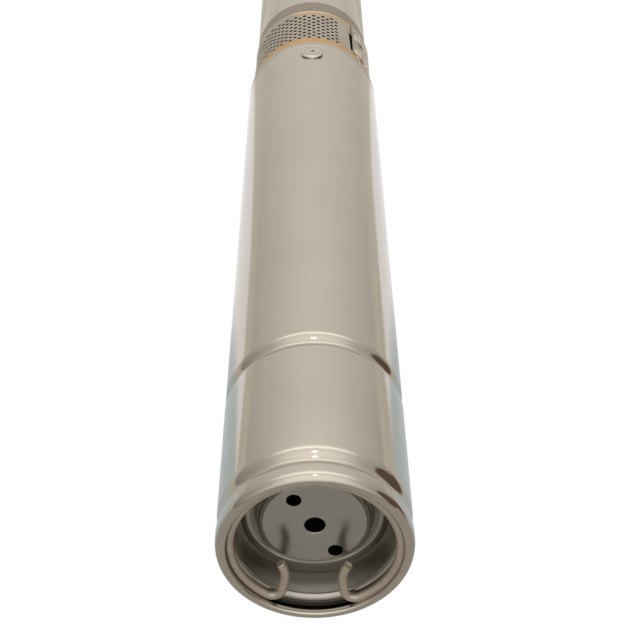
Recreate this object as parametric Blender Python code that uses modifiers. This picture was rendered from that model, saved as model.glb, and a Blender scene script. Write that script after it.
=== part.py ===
"""Borehole submersible pump, lying on its side.

The pump lies along +Y with the open end of its motor towards -Y and its
discharge port towards +Y. The floor under it is z = 0, and x = 0, y = 0 is the
middle of its length. Every piece is drawn in the pump's own frame: z runs up
the shaft from the lip of the motor, and a radius is measured from the shaft.
"""

import math

import bmesh
import bpy
from mathutils import Matrix, Vector

# Driving dimensions, in metres.
FIT_GAP = 0.0003
TOOL_REACH = 0.0030

# Motor casing: a drawn tube with two rolled grooves and a curled open end.
CASING_DIAMETER = 0.076
CASING_WALL = 0.0015
CASING_FACETS = 24
GROOVE_DEPTH = 0.0017
GROOVE_WIDTH = 0.0093
BRACKET_GROOVE_Z = 0.0836
LIP_WIDTH = 0.0042
LIP_ROUND = 0.0012

# Base of the motor: pressed cover, wire ring with two hooks, rubber diaphragm.
COVER_FACETS = 20
COVER_SHEET = 0.0012
COVER_BEND = 0.0014
COVER_FLANGE_LAND = 0.0009
COVER_FLANGE_WIDTH = 0.0062
COVER_CUP_DEPTH = 0.0152
COVER_CUP_DRAFT = 0.0008
COVER_VALLEY_WIDTH = 0.0093
COVER_BOSS_RISE = 0.0076
COVER_CENTRE_HOLE = 0.00805
COVER_SIDE_HOLE = 0.0060
COVER_HOLE_INSET = 0.0051
COVER_HOLE_TURN = math.radians(31.0)
RING_WIRE = 0.0036
RING_OVERLAP = 0.0004
RING_DEPTH = 0.00065
RING_MOUTH = math.radians(34.0)
HOOK_BEND_RADIUS = 0.0040
HOOK_LEAN = math.radians(8.0)
HOOK_SHANK = 0.0057
HOOK_CURL_RADIUS = 0.013
HOOK_CURL = math.radians(40.0)
DIAPHRAGM_SHEET = 0.0020
DIAPHRAGM_WALL_HEIGHT = 0.0090
DIAPHRAGM_DOME_HEIGHT = 0.0150
BEAD_HEIGHT = 0.0034
DOME_SHAPE = ((0.47, 0.13), (0.82, 0.60), (1.0, 1.0))

# Motor inside: bearings, stator, rotor and shaft.
INNER_FACETS = 12
BRACKET_FACETS = 20
BRACKET_SKIRT = 0.0022
BRACKET_NECK_HEIGHT = 0.0064
BRACKET_FLOOR = 0.0060
BRACKET_BORE = 0.0120
BRACKET_LIP = 0.0020
BRACKET_SLOPE = 0.0030
SHAFT_RADIUS = 0.0075
SHAFT_SHOULDER = 0.0010
SHAFT_OVERRUN = 0.0020
BEARING_OUTER_RADIUS = 0.0175
BEARING_WIDTH = 0.011
BEARING_RACE_WALL = 0.0028
BEARING_RACE_FLOOR = 0.00225
BALL_COUNT = 6
BALL_SIDE_CLEARANCE = 0.0010
CAGE_WALL = 0.0014
CAGE_HEIGHT = 0.0036
STATOR_LENGTH = 0.180
STATOR_SPLIT = 0.56  # Bore over outside diameter; behind the slots the rest is yoke.
STATOR_SLOTS = 10
SLOT_WIDTH = 0.0066
SLOT_DEPTH = 0.0090
SLOT_MOUTH = 0.0012
WINDING_OVERHANG = 0.0160
WINDING_CLEARANCE = 0.0060
AIR_GAP = 0.0007
ROTOR_BARS = 8
ROTOR_BAR_WIDTH = 0.0032
ROTOR_SKIN = 0.0004
END_RING_HEIGHT = 0.0060
END_RING_WALL = 0.0060

# Motor head: the casting that closes the casing at the pump side.
HEAD_SPIGOT = 0.0486
HEAD_BEARING_INSET = 0.0050
HEAD_RING_HEIGHT = 0.0045
CASING_SCREWS = 3
CASING_SCREW_SETBACK = 0.0136
SCREW_SHANK_RADIUS = 0.0024
SCREW_HEAD_RADIUS = 0.0066
SCREW_FLAT_RADIUS = 0.0032
SCREW_HEAD_HEIGHT = 0.0022
SCREW_LENGTH = 0.0080
SCREW_FACETS = 10
RECESS_LENGTH = 0.0052
RECESS_WIDTH = 0.0010
RECESS_DEPTH = 0.0014
ORING_SECTION = 0.0022
ORING_SETBACK = 0.0130
SEAL_SEAT_WALL = 0.0057
SEAL_FACE_WALL = 0.0042
SEAL_RUNNING_GAP = 0.0009
SEAL_SEAT_HEIGHT = 0.0050
SEAL_FACE_HEIGHT = 0.0040
SEAL_SPRING_LENGTH = 0.0075
SEAL_SPRING_WIRE = 0.0011
SEAL_SPRING_TURNS = 3.5
SEAL_COLLAR_HEIGHT = 0.0030
COUPLING_WALL = 0.0036
COUPLING_LENGTH = 0.0300
COUPLING_CHAMFER = 0.0010
GLAND_RADIUS = 0.0036
GLAND_INSET = 0.0092
GLAND_ANGLE = math.radians(41.0)

# Suction casting with its strainer screen and cable cover.
INLET_FLANGE_HEIGHT = 0.0058
INLET_FLANGE_STEP = 0.0002
INLET_HEIGHT = 0.0467
INLET_TAPER = 0.0026
INLET_RING_HEIGHT = 0.0050
INLET_SPIGOT = 0.0140
INLET_SPIGOT_WALL = 0.0040
INLET_DEPTH = 0.0120
INLET_RIBS = 4
INLET_RIB_WIDTH = 0.0050
INLET_RIB_SET = 0.0010
COVER_BOSS_WIDTH = 0.0090
RIB_ANGLE = math.radians(59.0)
SCREEN_SHEET = 0.0008
SCREEN_FOOT_STEP = 0.0004
SCREEN_WAIST_RISE = 0.028
SCREEN_ROWS = 4
SCREEN_COLUMNS = 18
SCREEN_BAR = 0.0028
SCREEN_MARGIN = 0.0020
PLAIN_MARGIN = math.radians(19.0)
CABLE_SLOT = math.radians(3.4)
SCREEN_SEAM = math.radians(0.6)
COVER_SECTOR_START = math.radians(46.0)
COVER_SECTOR_END = math.radians(82.0)
COVER_PLATE = 0.0012
COVER_SCREW_RISE = 0.0140
COVER_SCREW_DROP = 0.0068

# Hydraulic end: shell, stages, discharge head and check valve.
PUMP_STEP = 0.0008
PUMP_WALL = 0.0015
PUMP_COLLAR_HEIGHT = 0.0040
PUMP_TAPER = 0.0076
STAGES = 4
STAGE_PITCH = 0.0360
BOWL_WALL = 0.0015
BOWL_FACETS = 14
BOWL_CLEARANCE = 0.0044
IMPELLER_FACETS = 12
IMPELLER_PASSAGE = 0.0050
IMPELLER_PLATE = 0.0016
IMPELLER_CLEARANCE = 0.0012
VANES = 5
VANE_THICKNESS = 0.0016
VANE_SWEEP = math.radians(75.0)
VANE_SET = 0.0004
VANE_SETBACK = 0.0060
HUB_WALL = 0.0030
HUB_TAPER = 0.0010
EYE_WIDTH = 0.0055
DISCHARGE_HEIGHT = 0.0640
DISCHARGE_SPIGOT = 0.0125
DISCHARGE_SPIGOT_WALL = 0.0030
DISCHARGE_COLLAR_HEIGHT = 0.0120
DISCHARGE_COLLAR_TAPER = 0.0030
DISCHARGE_SHOULDER_HEIGHT = 0.0140
DISCHARGE_COLLAR_STEP = 0.0040
DISCHARGE_NECK_SETBACK = 0.0162
DISCHARGE_CHAMFER = 0.0008
PORT_STEP = 0.0048
PORT_DEPTH = 0.0230
PORT_TAPER = 0.0060
CHAMBER_WALL = 0.0020
ROPE_LUG_THICKNESS = 0.0060
ROPE_LUG_EDGE = 0.0022
ROPE_LUG_SET = 0.0010
ROPE_HOLE_RADIUS = 0.0050
ROPE_HOLE_RISE = 0.0125
ROPE_LUG_TIP = 0.0045
VALVE_SEAT_HEIGHT = 0.0040
POPPET_CLEARANCE = 0.0035
POPPET_OVERLAP = 0.0040
POPPET_DISC = 0.0026
POPPET_NOSE = 0.0035
POPPET_COLLAR = 0.0030
POPPET_TAPER = 0.0006
STEM_RADIUS = 0.0030
STEM_ENGAGEMENT = 0.0048
GUIDE_WALL = 0.0027
GUIDE_HEIGHT = 0.0080
GUIDE_BAR_WIDTH = 0.0024
GUIDE_BAR_HEIGHT = 0.0030
GUIDE_SETBACK = 0.0020

# Radii that follow from the sizes above.
CASING_RADIUS = CASING_DIAMETER / 2 / math.cos(math.pi / CASING_FACETS)
CASING_BORE = CASING_RADIUS - CASING_WALL
LINER_RADIUS = CASING_BORE * math.cos(math.pi / CASING_FACETS) - FIT_GAP
AXIS_HEIGHT = CASING_DIAMETER / 2
LIP_INNER_RADIUS = CASING_RADIUS - LIP_WIDTH
RING_RADIUS = LIP_INNER_RADIUS + RING_OVERLAP - RING_WIRE / 2
COVER_CUP_RADIUS = LINER_RADIUS - COVER_FLANGE_WIDTH
COVER_BOSS_RADIUS = COVER_CUP_RADIUS - COVER_VALLEY_WIDTH
COVER_HOLE_PITCH_RADIUS = COVER_BOSS_RADIUS - COVER_HOLE_INSET
STATOR_BORE_RADIUS = (CASING_BORE - FIT_GAP) * STATOR_SPLIT
ROTOR_RADIUS = STATOR_BORE_RADIUS - AIR_GAP
BEARING_BORE = SHAFT_RADIUS + FIT_GAP
BEARING_SEAT_RADIUS = BEARING_OUTER_RADIUS / math.cos(math.pi / BRACKET_FACETS) + FIT_GAP
BALL_DIAMETER = BEARING_OUTER_RADIUS - BEARING_BORE - 2 * BEARING_RACE_FLOOR
SEAL_SHAFT_RADIUS = SHAFT_RADIUS - 2 * FIT_GAP
SEAL_SEAT_RADIUS = SEAL_SHAFT_RADIUS + SEAL_SEAT_WALL
SEAL_FACE_RADIUS = SEAL_SHAFT_RADIUS + SEAL_FACE_WALL
HEX_CORNER = SEAL_SHAFT_RADIUS - 2 * FIT_GAP
HEX_BORE_CORNER = HEX_CORNER + 2 * FIT_GAP / math.sqrt(3)
COUPLING_RADIUS = HEX_CORNER + COUPLING_WALL
GLAND_PITCH_RADIUS = CASING_RADIUS - GLAND_INSET
INLET_TOP_RADIUS = CASING_RADIUS - INLET_TAPER
INLET_BORE = INLET_TOP_RADIUS - INLET_DEPTH
SCREEN_FOOT_RADIUS = CASING_RADIUS - SCREEN_FOOT_STEP
SCREEN_WAIST_RADIUS = INLET_TOP_RADIUS
PUMP_COLLAR_RADIUS = INLET_TOP_RADIUS
PUMP_RADIUS = PUMP_COLLAR_RADIUS - PUMP_STEP
PUMP_BORE = PUMP_RADIUS - PUMP_WALL
SPIGOT_RADIUS = PUMP_BORE - FIT_GAP
BOWL_RADIUS = PUMP_BORE * math.cos(math.pi / CASING_FACETS) - FIT_GAP
IMPELLER_RADIUS = BOWL_RADIUS - BOWL_WALL - BOWL_CLEARANCE
HUB_RADIUS = HEX_CORNER + HUB_WALL
EYE_RADIUS = HUB_RADIUS + EYE_WIDTH
SHAFT_CLEAR_RADIUS = HEX_CORNER + 4 * FIT_GAP
NECK_RADIUS = CASING_RADIUS - DISCHARGE_NECK_SETBACK
CHAMBER_RADIUS = NECK_RADIUS - CHAMBER_WALL
PORT_RADIUS = CHAMBER_RADIUS - PORT_STEP
POPPET_RADIUS = CHAMBER_RADIUS - POPPET_CLEARANCE
VALVE_SEAT_RADIUS = POPPET_RADIUS - POPPET_OVERLAP
ROPE_LUG_REACH = CASING_RADIUS - ROPE_LUG_SET
ROPE_HOLE_X = ROPE_LUG_REACH - ROPE_LUG_EDGE - ROPE_HOLE_RADIUS

# Heights up the shaft that follow from the sizes above.
RING_Z = CASING_WALL + RING_DEPTH + RING_WIRE / 2
FLANGE_Z = RING_Z + RING_WIRE / 2 + FIT_GAP
BASE_GROOVE_Z = FLANGE_Z + COVER_FLANGE_LAND + GROOVE_WIDTH / 2
LOWER_BEARING_Z = BRACKET_GROOVE_Z + BRACKET_NECK_HEIGHT
BRACKET_TOP_Z = LOWER_BEARING_Z + BEARING_WIDTH + BRACKET_LIP
STATOR_Z = BRACKET_TOP_Z + WINDING_CLEARANCE + WINDING_OVERHANG
STATOR_TOP_Z = STATOR_Z + STATOR_LENGTH
HEAD_Z = STATOR_TOP_Z + WINDING_OVERHANG + WINDING_CLEARANCE
UPPER_BEARING_Z = HEAD_Z + HEAD_BEARING_INSET
ORING_Z = HEAD_Z + ORING_SETBACK
CASING_LENGTH = HEAD_Z + HEAD_SPIGOT
SCREW_Z = CASING_LENGTH - CASING_SCREW_SETBACK
HEAD_TOP_Z = CASING_LENGTH + FIT_GAP + HEAD_RING_HEIGHT
SEAL_TOP_Z = HEAD_TOP_Z + SEAL_FACE_HEIGHT + SEAL_SPRING_LENGTH + SEAL_COLLAR_HEIGHT
HEX_START_Z = SEAL_TOP_Z + 2 * FIT_GAP
SHAFT_TOP_Z = HEX_START_Z + COUPLING_LENGTH / 2
COUPLING_Z = HEX_START_Z + FIT_GAP
INLET_Z = HEAD_TOP_Z + FIT_GAP
SCREEN_Z = INLET_Z + INLET_FLANGE_HEIGHT + FIT_GAP
INLET_RING_Z = INLET_Z + INLET_HEIGHT
INLET_RING_TOP_Z = INLET_RING_Z + INLET_RING_HEIGHT
COVER_SCREW_LOW_Z = SCREEN_Z + COVER_SCREW_RISE
COVER_SCREW_HIGH_Z = INLET_RING_Z - COVER_SCREW_DROP
PUMP_Z = INLET_RING_TOP_Z + FIT_GAP
STAGES_Z = INLET_RING_TOP_Z + INLET_SPIGOT + FIT_GAP
STAGES_TOP_Z = STAGES_Z + STAGES * STAGE_PITCH
DISCHARGE_Z = STAGES_TOP_Z + DISCHARGE_SPIGOT
COLLAR_TOP_Z = DISCHARGE_Z + DISCHARGE_COLLAR_HEIGHT
VALVE_Z = DISCHARGE_Z + VALVE_SEAT_HEIGHT / 2
ROPE_HOLE_Z = COLLAR_TOP_Z + ROPE_HOLE_RISE
PUMP_LENGTH = DISCHARGE_Z + DISCHARGE_HEIGHT
PORT_FLOOR_Z = PUMP_LENGTH - PORT_DEPTH
GUIDE_TOP_Z = PORT_FLOOR_Z - PORT_TAPER - GUIDE_SETBACK

PUMP_NAME = "borehole_submersible_pump"


def clear_scene():
    for old in list(bpy.data.objects):
        bpy.data.objects.remove(old, do_unlink=True)


def new_collection(name):
    collection = bpy.data.collections.new(name)
    bpy.context.scene.collection.children.link(collection)
    return collection


def new_axis(name, parent=None):
    """An empty on the shaft, which carries the pieces of one rigid body."""
    axis = bpy.data.objects.new(name, None)
    PARTS.objects.link(axis)
    if parent is None:
        axis.location = (0.0, -PUMP_LENGTH / 2, AXIS_HEIGHT)
        axis.rotation_euler = (-math.pi / 2, 0.0, 0.0)
    else:
        axis.parent = parent
    return axis


def material(name, colour, roughness, metallic):
    finish = bpy.data.materials.new(name)
    finish.use_nodes = True
    shader = finish.node_tree.nodes["Principled BSDF"]
    shader.inputs["Base Color"].default_value = (*colour, 1.0)
    shader.inputs["Roughness"].default_value = roughness
    shader.inputs["Metallic"].default_value = metallic
    finish.diffuse_color = (*colour, 1.0)
    return finish


def place(name, data, finish, axis):
    """Links one sub-part to the parts collection, on the axis of its body."""
    part = bpy.data.objects.new(name, data)
    data.materials.append(finish)
    PARTS.objects.link(part)
    part.parent = axis
    return part


def cutter(name, data, axis):
    tool = bpy.data.objects.new(name, data)
    CUTTERS.objects.link(tool)
    tool.parent = axis
    tool.hide_render = True
    tool.display_type = "WIRE"
    return tool


def cut(part, tool, operation="DIFFERENCE"):
    change = part.modifiers.new(operation.title() + " " + tool.name, "BOOLEAN")
    change.operation = operation
    change.object = tool
    change.solver = "EXACT"


def outline_mesh(name, points, closed):
    """A profile in the x-z plane, ready to be turned about z."""
    mesh = bpy.data.meshes.new(name)
    count = len(points)
    edges = [(i, (i + 1) % count) for i in range(count if closed else count - 1)]
    mesh.from_pydata([(radius, 0.0, z) for radius, z in points], edges, [])
    return mesh


def add_turn(part, steps, angle=2 * math.pi):
    turn = part.modifiers.new("Turn", "SCREW")
    turn.axis = "Z"
    turn.angle = angle
    turn.steps = steps
    turn.render_steps = steps
    turn.use_merge_vertices = True
    turn.merge_threshold = 0.00001
    turn.use_smooth_shade = True


def turned(name, points, steps, finish, axis, closed=True):
    """A turned piece: its outer side runs top to bottom, and then its bore."""
    part = place(name, outline_mesh(name, points, closed), finish, axis)
    part.rotation_euler.z = math.pi / steps
    add_turn(part, steps)
    return part


def turned_cutter(name, points, steps, axis, closed=True):
    tool = cutter(name, outline_mesh(name, points, closed), axis)
    tool.rotation_euler.z = math.pi / steps
    add_turn(tool, steps)
    return tool


def tube_points(outer, inner, low, high):
    return [(outer, high), (outer, low), (inner, low), (inner, high)]


def solid_points(outline):
    """Closes an outer outline, top to bottom, down to the shaft's line."""
    return [(0.0, outline[0][1])] + outline + [(0.0, outline[-1][1])]


def rod_mesh(name, radius, low, high, sides=12, matrix=None):
    mesh = bpy.data.meshes.new(name)
    shape = bmesh.new()
    bmesh.ops.create_cone(shape, cap_ends=True, segments=sides, radius1=radius,
                          radius2=radius, depth=high - low)
    bmesh.ops.translate(shape, verts=shape.verts, vec=(0.0, 0.0, (low + high) / 2))
    if matrix is not None:
        bmesh.ops.transform(shape, verts=shape.verts, matrix=matrix)
    shape.to_mesh(mesh)
    shape.free()
    return mesh


def box_mesh(name, low, high, matrix=None):
    mesh = bpy.data.meshes.new(name)
    shape = bmesh.new()
    bmesh.ops.create_cube(shape, size=1.0)
    size = [b - a for a, b in zip(low, high)]
    middle = [(a + b) / 2 for a, b in zip(low, high)]
    bmesh.ops.scale(shape, verts=shape.verts, vec=size)
    bmesh.ops.translate(shape, verts=shape.verts, vec=middle)
    if matrix is not None:
        bmesh.ops.transform(shape, verts=shape.verts, matrix=matrix)
    shape.to_mesh(mesh)
    shape.free()
    return mesh


def about_shaft(angle):
    return Matrix.Rotation(angle, 4, "Z")


def clock(angle):
    """Turns an angle from the top of the lying pump into one about its shaft.

    The angle grows clockwise as seen from the motor's open end, so that
    90 degrees is the side towards +X.
    """
    return angle - math.pi / 2


def radial(angle, z):
    """Stands a shape drawn along +Z out from the shaft at a clock angle."""
    turn = about_shaft(clock(angle)) @ Matrix.Rotation(math.pi / 2, 4, "Y")
    return Matrix.Translation((0.0, 0.0, z)) @ turn


def off_shaft(angle, radius):
    """Moves a shape drawn on the shaft's line out to a radius."""
    return about_shaft(clock(angle)) @ Matrix.Translation((radius, 0.0, 0.0))


def wire(name, points, radius, finish, axis, resolution):
    """A bent round wire with closed ends, made a mesh."""
    curve = bpy.data.curves.new(name, "CURVE")
    curve.dimensions = "3D"
    curve.bevel_depth = radius
    curve.bevel_resolution = resolution
    curve.use_fill_caps = True
    spline = curve.splines.new("POLY")
    spline.points.add(len(points) - 1)
    for knot, point in zip(spline.points, points):
        knot.co = (*point, 1.0)
    source = bpy.data.objects.new(name + "_path", curve)
    PARTS.objects.link(source)
    bpy.context.view_layer.update()
    evaluated = source.evaluated_get(bpy.context.evaluated_depsgraph_get())
    mesh = bpy.data.meshes.new_from_object(evaluated)
    mesh.name = name
    bpy.data.objects.remove(source, do_unlink=True)
    bpy.data.curves.remove(curve)
    shape = bmesh.new()
    shape.from_mesh(mesh)
    bmesh.ops.remove_doubles(shape, verts=shape.verts, dist=0.00001)
    bmesh.ops.recalc_face_normals(shape, faces=shape.faces)
    shape.to_mesh(mesh)
    shape.free()
    mesh.materials.clear()
    return place(name, mesh, finish, axis)


def slab(name, outlines, low, high, finish, axis):
    """A flat outline, with holes where it has more loops, given a height."""
    curve = bpy.data.curves.new(name, "CURVE")
    curve.dimensions = "2D"
    curve.fill_mode = "BOTH"
    curve.extrude = (high - low) / 2
    for outline in outlines:
        spline = curve.splines.new("POLY")
        spline.points.add(len(outline) - 1)
        spline.use_cyclic_u = True
        for knot, point in zip(spline.points, outline):
            knot.co = (point[0], point[1], 0.0, 1.0)
    source = bpy.data.objects.new(name + "_outline", curve)
    PARTS.objects.link(source)
    bpy.context.view_layer.update()
    evaluated = source.evaluated_get(bpy.context.evaluated_depsgraph_get())
    mesh = bpy.data.meshes.new_from_object(evaluated)
    mesh.name = name
    bpy.data.objects.remove(source, do_unlink=True)
    bpy.data.curves.remove(curve)
    shape = bmesh.new()
    shape.from_mesh(mesh)
    bmesh.ops.remove_doubles(shape, verts=shape.verts, dist=0.00001)
    bmesh.ops.recalc_face_normals(shape, faces=shape.faces)
    bmesh.ops.translate(shape, verts=shape.verts, vec=(0.0, 0.0, (low + high) / 2))
    shape.to_mesh(mesh)
    shape.free()
    mesh.materials.clear()
    return place(name, mesh, finish, axis)


def circle(radius, sides, phase=0.0):
    step = 2 * math.pi / sides
    return [(radius * math.cos(phase + i * step), radius * math.sin(phase + i * step))
            for i in range(sides)]


def rolled_groove(surface, middle, depth, divisions):
    """The wave of one rolled groove in a wall, from its top to its bottom."""
    points = []
    for i in range(divisions + 1):
        share = i / divisions
        dip = depth * (1 - math.cos(2 * math.pi * share)) / 2
        points.append((surface - dip, middle + GROOVE_WIDTH * (0.5 - share)))
    return points


# Motor casing

def build_motor_casing():
    """Drawn stainless tube: grooves hold the bracket and carry the base cover."""
    outside = [(CASING_RADIUS, CASING_LENGTH)]
    outside += rolled_groove(CASING_RADIUS, BRACKET_GROOVE_Z, GROOVE_DEPTH, 4)
    outside += rolled_groove(CASING_RADIUS, BASE_GROOVE_Z, GROOVE_DEPTH, 4)
    lip = [(CASING_RADIUS, LIP_ROUND),
           (CASING_RADIUS - LIP_ROUND, 0.0),
           (LIP_INNER_RADIUS + LIP_ROUND / 2, 0.0),
           (LIP_INNER_RADIUS, LIP_ROUND / 2),
           (LIP_INNER_RADIUS, CASING_WALL),
           (CASING_BORE, CASING_WALL)]
    inside = []
    for middle in (BASE_GROOVE_Z, BRACKET_GROOVE_Z):
        inside += reversed(rolled_groove(CASING_BORE, middle, GROOVE_DEPTH, 2))
    inside.append((CASING_BORE, CASING_LENGTH))
    casing = turned("motor_casing", outside + lip + inside, CASING_FACETS, STEEL, PUMP)
    for i in range(CASING_SCREWS):
        hole = rod_mesh("casing_screw_hole", SCREW_SHANK_RADIUS + FIT_GAP,
                        CASING_BORE - TOOL_REACH, CASING_RADIUS + TOOL_REACH, SCREW_FACETS,
                        radial(i * 2 * math.pi / CASING_SCREWS, SCREW_Z))
        cut(casing, cutter("casing_screw_hole_%d" % (i + 1), hole, PUMP))


# Base of the motor

def build_base_cover():
    """Pressed stainless cup with a raised boss, pierced by three water holes."""
    bend = COVER_BEND
    floor = FLANGE_Z + COVER_CUP_DEPTH
    face = floor - COVER_BOSS_RISE
    wall = COVER_CUP_RADIUS
    foot = wall - COVER_CUP_DRAFT
    points = [(LINER_RADIUS, FLANGE_Z),
              (wall + bend, FLANGE_Z),
              (wall, FLANGE_Z + bend),
              (foot, floor - bend),
              (foot - bend, floor),
              (COVER_BOSS_RADIUS + 2 * bend, floor),
              (COVER_BOSS_RADIUS + bend, floor - bend),
              (COVER_BOSS_RADIUS + bend / 2, face + bend),
              (COVER_BOSS_RADIUS - bend / 2, face),
              (COVER_CENTRE_HOLE / 2, face)]
    mesh = outline_mesh("base_cover", points, False)
    cover = place("base_cover", mesh, BASE_STEEL, PUMP)
    cover.rotation_euler.z = math.pi / COVER_FACETS
    add_turn(cover, COVER_FACETS)
    sheet = cover.modifiers.new("Sheet", "SOLIDIFY")
    sheet.thickness = COVER_SHEET
    sheet.offset = -1.0
    for i, side in enumerate((0.0, math.pi)):
        spot = off_shaft(side - COVER_HOLE_TURN, COVER_HOLE_PITCH_RADIUS)
        hole = rod_mesh("base_cover_hole", COVER_SIDE_HOLE / 2, face - TOOL_REACH,
                        face + COVER_SHEET + TOOL_REACH, INNER_FACETS, spot)
        cut(cover, cutter("base_cover_hole_%d" % (i + 1), hole, PUMP))


def ring_path():
    """The wire's middle: the ring, then a bend and a curled hook at each end."""
    half = []
    mouth = RING_MOUTH
    steps = 11
    for i in range(steps):
        angle = math.pi - (math.pi - mouth) * i / (steps - 1)
        half.append(Vector((RING_RADIUS * math.sin(angle), RING_RADIUS * math.cos(angle))))
    heading = Vector((-math.cos(mouth), math.sin(mouth)))
    spot = half[-1].copy()
    for step_turn, radius, count in ((math.pi / 2 + mouth - HOOK_LEAN, HOOK_BEND_RADIUS, 5),
                                     (0.0, HOOK_SHANK, 1),
                                     (HOOK_CURL, HOOK_CURL_RADIUS, 3)):
        for _ in range(count):
            turn = step_turn / count
            length = radius * abs(turn) if turn else radius
            heading = Matrix.Rotation(turn / 2, 2) @ heading
            spot = spot + heading * length
            heading = Matrix.Rotation(turn / 2, 2) @ heading
            half.append(spot.copy())
    return half


def build_retaining_ring():
    """Spring wire ring that snaps behind the lip; its ends are bent to hooks."""
    half = ring_path()
    right = [(point.x, point.y, RING_Z) for point in half]
    left = [(-x, y, z) for x, y, z in reversed(right)]
    wire("retaining_ring", left + right[1:], RING_WIRE / 2, WIRE_STEEL, PUMP, 1)


def build_diaphragm():
    """Rubber cup that lets the oil in the motor swell; its bead seals the rim."""
    low = BASE_GROOVE_Z + GROOVE_WIDTH / 2 + FIT_GAP
    shoulder = low + DIAPHRAGM_WALL_HEIGHT
    top = shoulder + DIAPHRAGM_DOME_HEIGHT
    inner = COVER_CUP_RADIUS + COVER_SHEET + 2 * FIT_GAP
    outer = inner + DIAPHRAGM_SHEET
    above = [(0.0, top)]
    below = [(0.0, top - DIAPHRAGM_SHEET)]
    for out, drop in DOME_SHAPE:
        above.append((outer * out, top - DIAPHRAGM_DOME_HEIGHT * drop))
        below.append((inner * out, top - DIAPHRAGM_SHEET
                      - (DIAPHRAGM_DOME_HEIGHT - DIAPHRAGM_SHEET / 2) * drop))
    bead = [(outer, low + BEAD_HEIGHT), (LINER_RADIUS, low + BEAD_HEIGHT),
            (LINER_RADIUS, low), (inner, low)]
    turned("diaphragm", above + bead + below[::-1], BRACKET_FACETS, RUBBER, PUMP,
           closed=False)


# Lower end of the motor

def build_lower_bracket():
    """Cast bracket held by the second groove; it carries the lower bearing."""
    rim = LINER_RADIUS
    skirt = BASE_GROOVE_Z + GROOVE_WIDTH / 2 + BEAD_HEIGHT + 2 * FIT_GAP
    groove_low = BRACKET_GROOVE_Z - GROOVE_WIDTH / 2 - 2 * FIT_GAP
    groove_high = BRACKET_GROOVE_Z + GROOVE_WIDTH / 2 + 2 * FIT_GAP
    floor = LOWER_BEARING_Z - FIT_GAP
    under = floor - BRACKET_FLOOR
    neck = rim - GROOVE_DEPTH - FIT_GAP
    points = [(rim, BRACKET_TOP_Z), (rim, groove_high), (neck, groove_high),
              (neck, groove_low), (rim, groove_low), (rim, skirt),
              (rim - BRACKET_SKIRT, skirt), (rim - BRACKET_SKIRT, groove_low - BRACKET_SLOPE),
              (BEARING_SEAT_RADIUS + BRACKET_FLOOR, under), (BRACKET_BORE, under),
              (BRACKET_BORE, floor), (BEARING_SEAT_RADIUS, floor),
              (BEARING_SEAT_RADIUS, BRACKET_TOP_Z)]
    turned("lower_bracket", points, BRACKET_FACETS, CAST_ALUMINIUM, PUMP)


def build_bearing(prefix, low, cage_axis):
    """Deep-groove ball bearing: two races, and the balls in their cage."""
    high = low + BEARING_WIDTH
    middle = low + BEARING_WIDTH / 2
    pitch = (BEARING_OUTER_RADIUS + BEARING_BORE) / 2
    run = BALL_DIAMETER / 2 + FIT_GAP
    track = BALL_DIAMETER / 2 + BALL_SIDE_CLEARANCE
    outer_track = (pitch + run) / math.cos(math.pi / INNER_FACETS)
    inner_track = pitch - run
    outer_lip = BEARING_OUTER_RADIUS - BEARING_RACE_WALL
    inner_lip = BEARING_BORE + BEARING_RACE_WALL
    turned(prefix + "_bearing_outer_race",
           [(BEARING_OUTER_RADIUS, high), (BEARING_OUTER_RADIUS, low), (outer_lip, low),
            (outer_lip, middle - track), (outer_track, middle),
            (outer_lip, middle + track), (outer_lip, high)],
           INNER_FACETS, BEARING_STEEL, PUMP)
    turned(prefix + "_bearing_inner_race",
           [(inner_lip, high), (inner_lip, middle + track), (inner_track, middle),
            (inner_lip, middle - track), (inner_lip, low), (BEARING_BORE, low),
            (BEARING_BORE, high)],
           INNER_FACETS, BEARING_STEEL, ROTOR)
    cage = turned(prefix + "_bearing_cage",
                  tube_points(pitch + CAGE_WALL / 2, pitch - CAGE_WALL / 2,
                              middle - CAGE_HEIGHT / 2, middle + CAGE_HEIGHT / 2),
                  INNER_FACETS, BRASS, cage_axis)
    for i in range(BALL_COUNT):
        mesh = bpy.data.meshes.new("ball")
        shape = bmesh.new()
        spot = about_shaft(i * 2 * math.pi / BALL_COUNT) @ Matrix.Translation((pitch, 0, middle))
        bmesh.ops.create_uvsphere(shape, u_segments=6, v_segments=3,
                                  radius=BALL_DIAMETER / 2, matrix=spot)
        shape.to_mesh(mesh)
        shape.free()
        ball = cutter("%s_ball_%d" % (prefix, i + 1), mesh, cage_axis)
        cut(cage, ball, "UNION")


# Stator, rotor and shaft

def notched_circle(radius, notches, width, floor, sides):
    """A circle with straight-sided notches cut in from its edge to a radius."""
    points = []
    step = 2 * math.pi / notches
    half = width / 2
    for i in range(notches):
        middle = i * step
        turn = Matrix.Rotation(middle, 2)
        edge = math.sqrt(radius ** 2 - half ** 2)
        corners = ((edge, -half), (floor, -half), (floor, half), (edge, half))
        points += [tuple(turn @ Vector(corner)) for corner in corners]
        land = step - 2 * math.asin(half / radius)
        start = middle + math.asin(half / radius)
        for j in range(1, sides):
            angle = start + land * j / sides
            points.append((radius * math.cos(angle), radius * math.sin(angle)))
    return points


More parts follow.
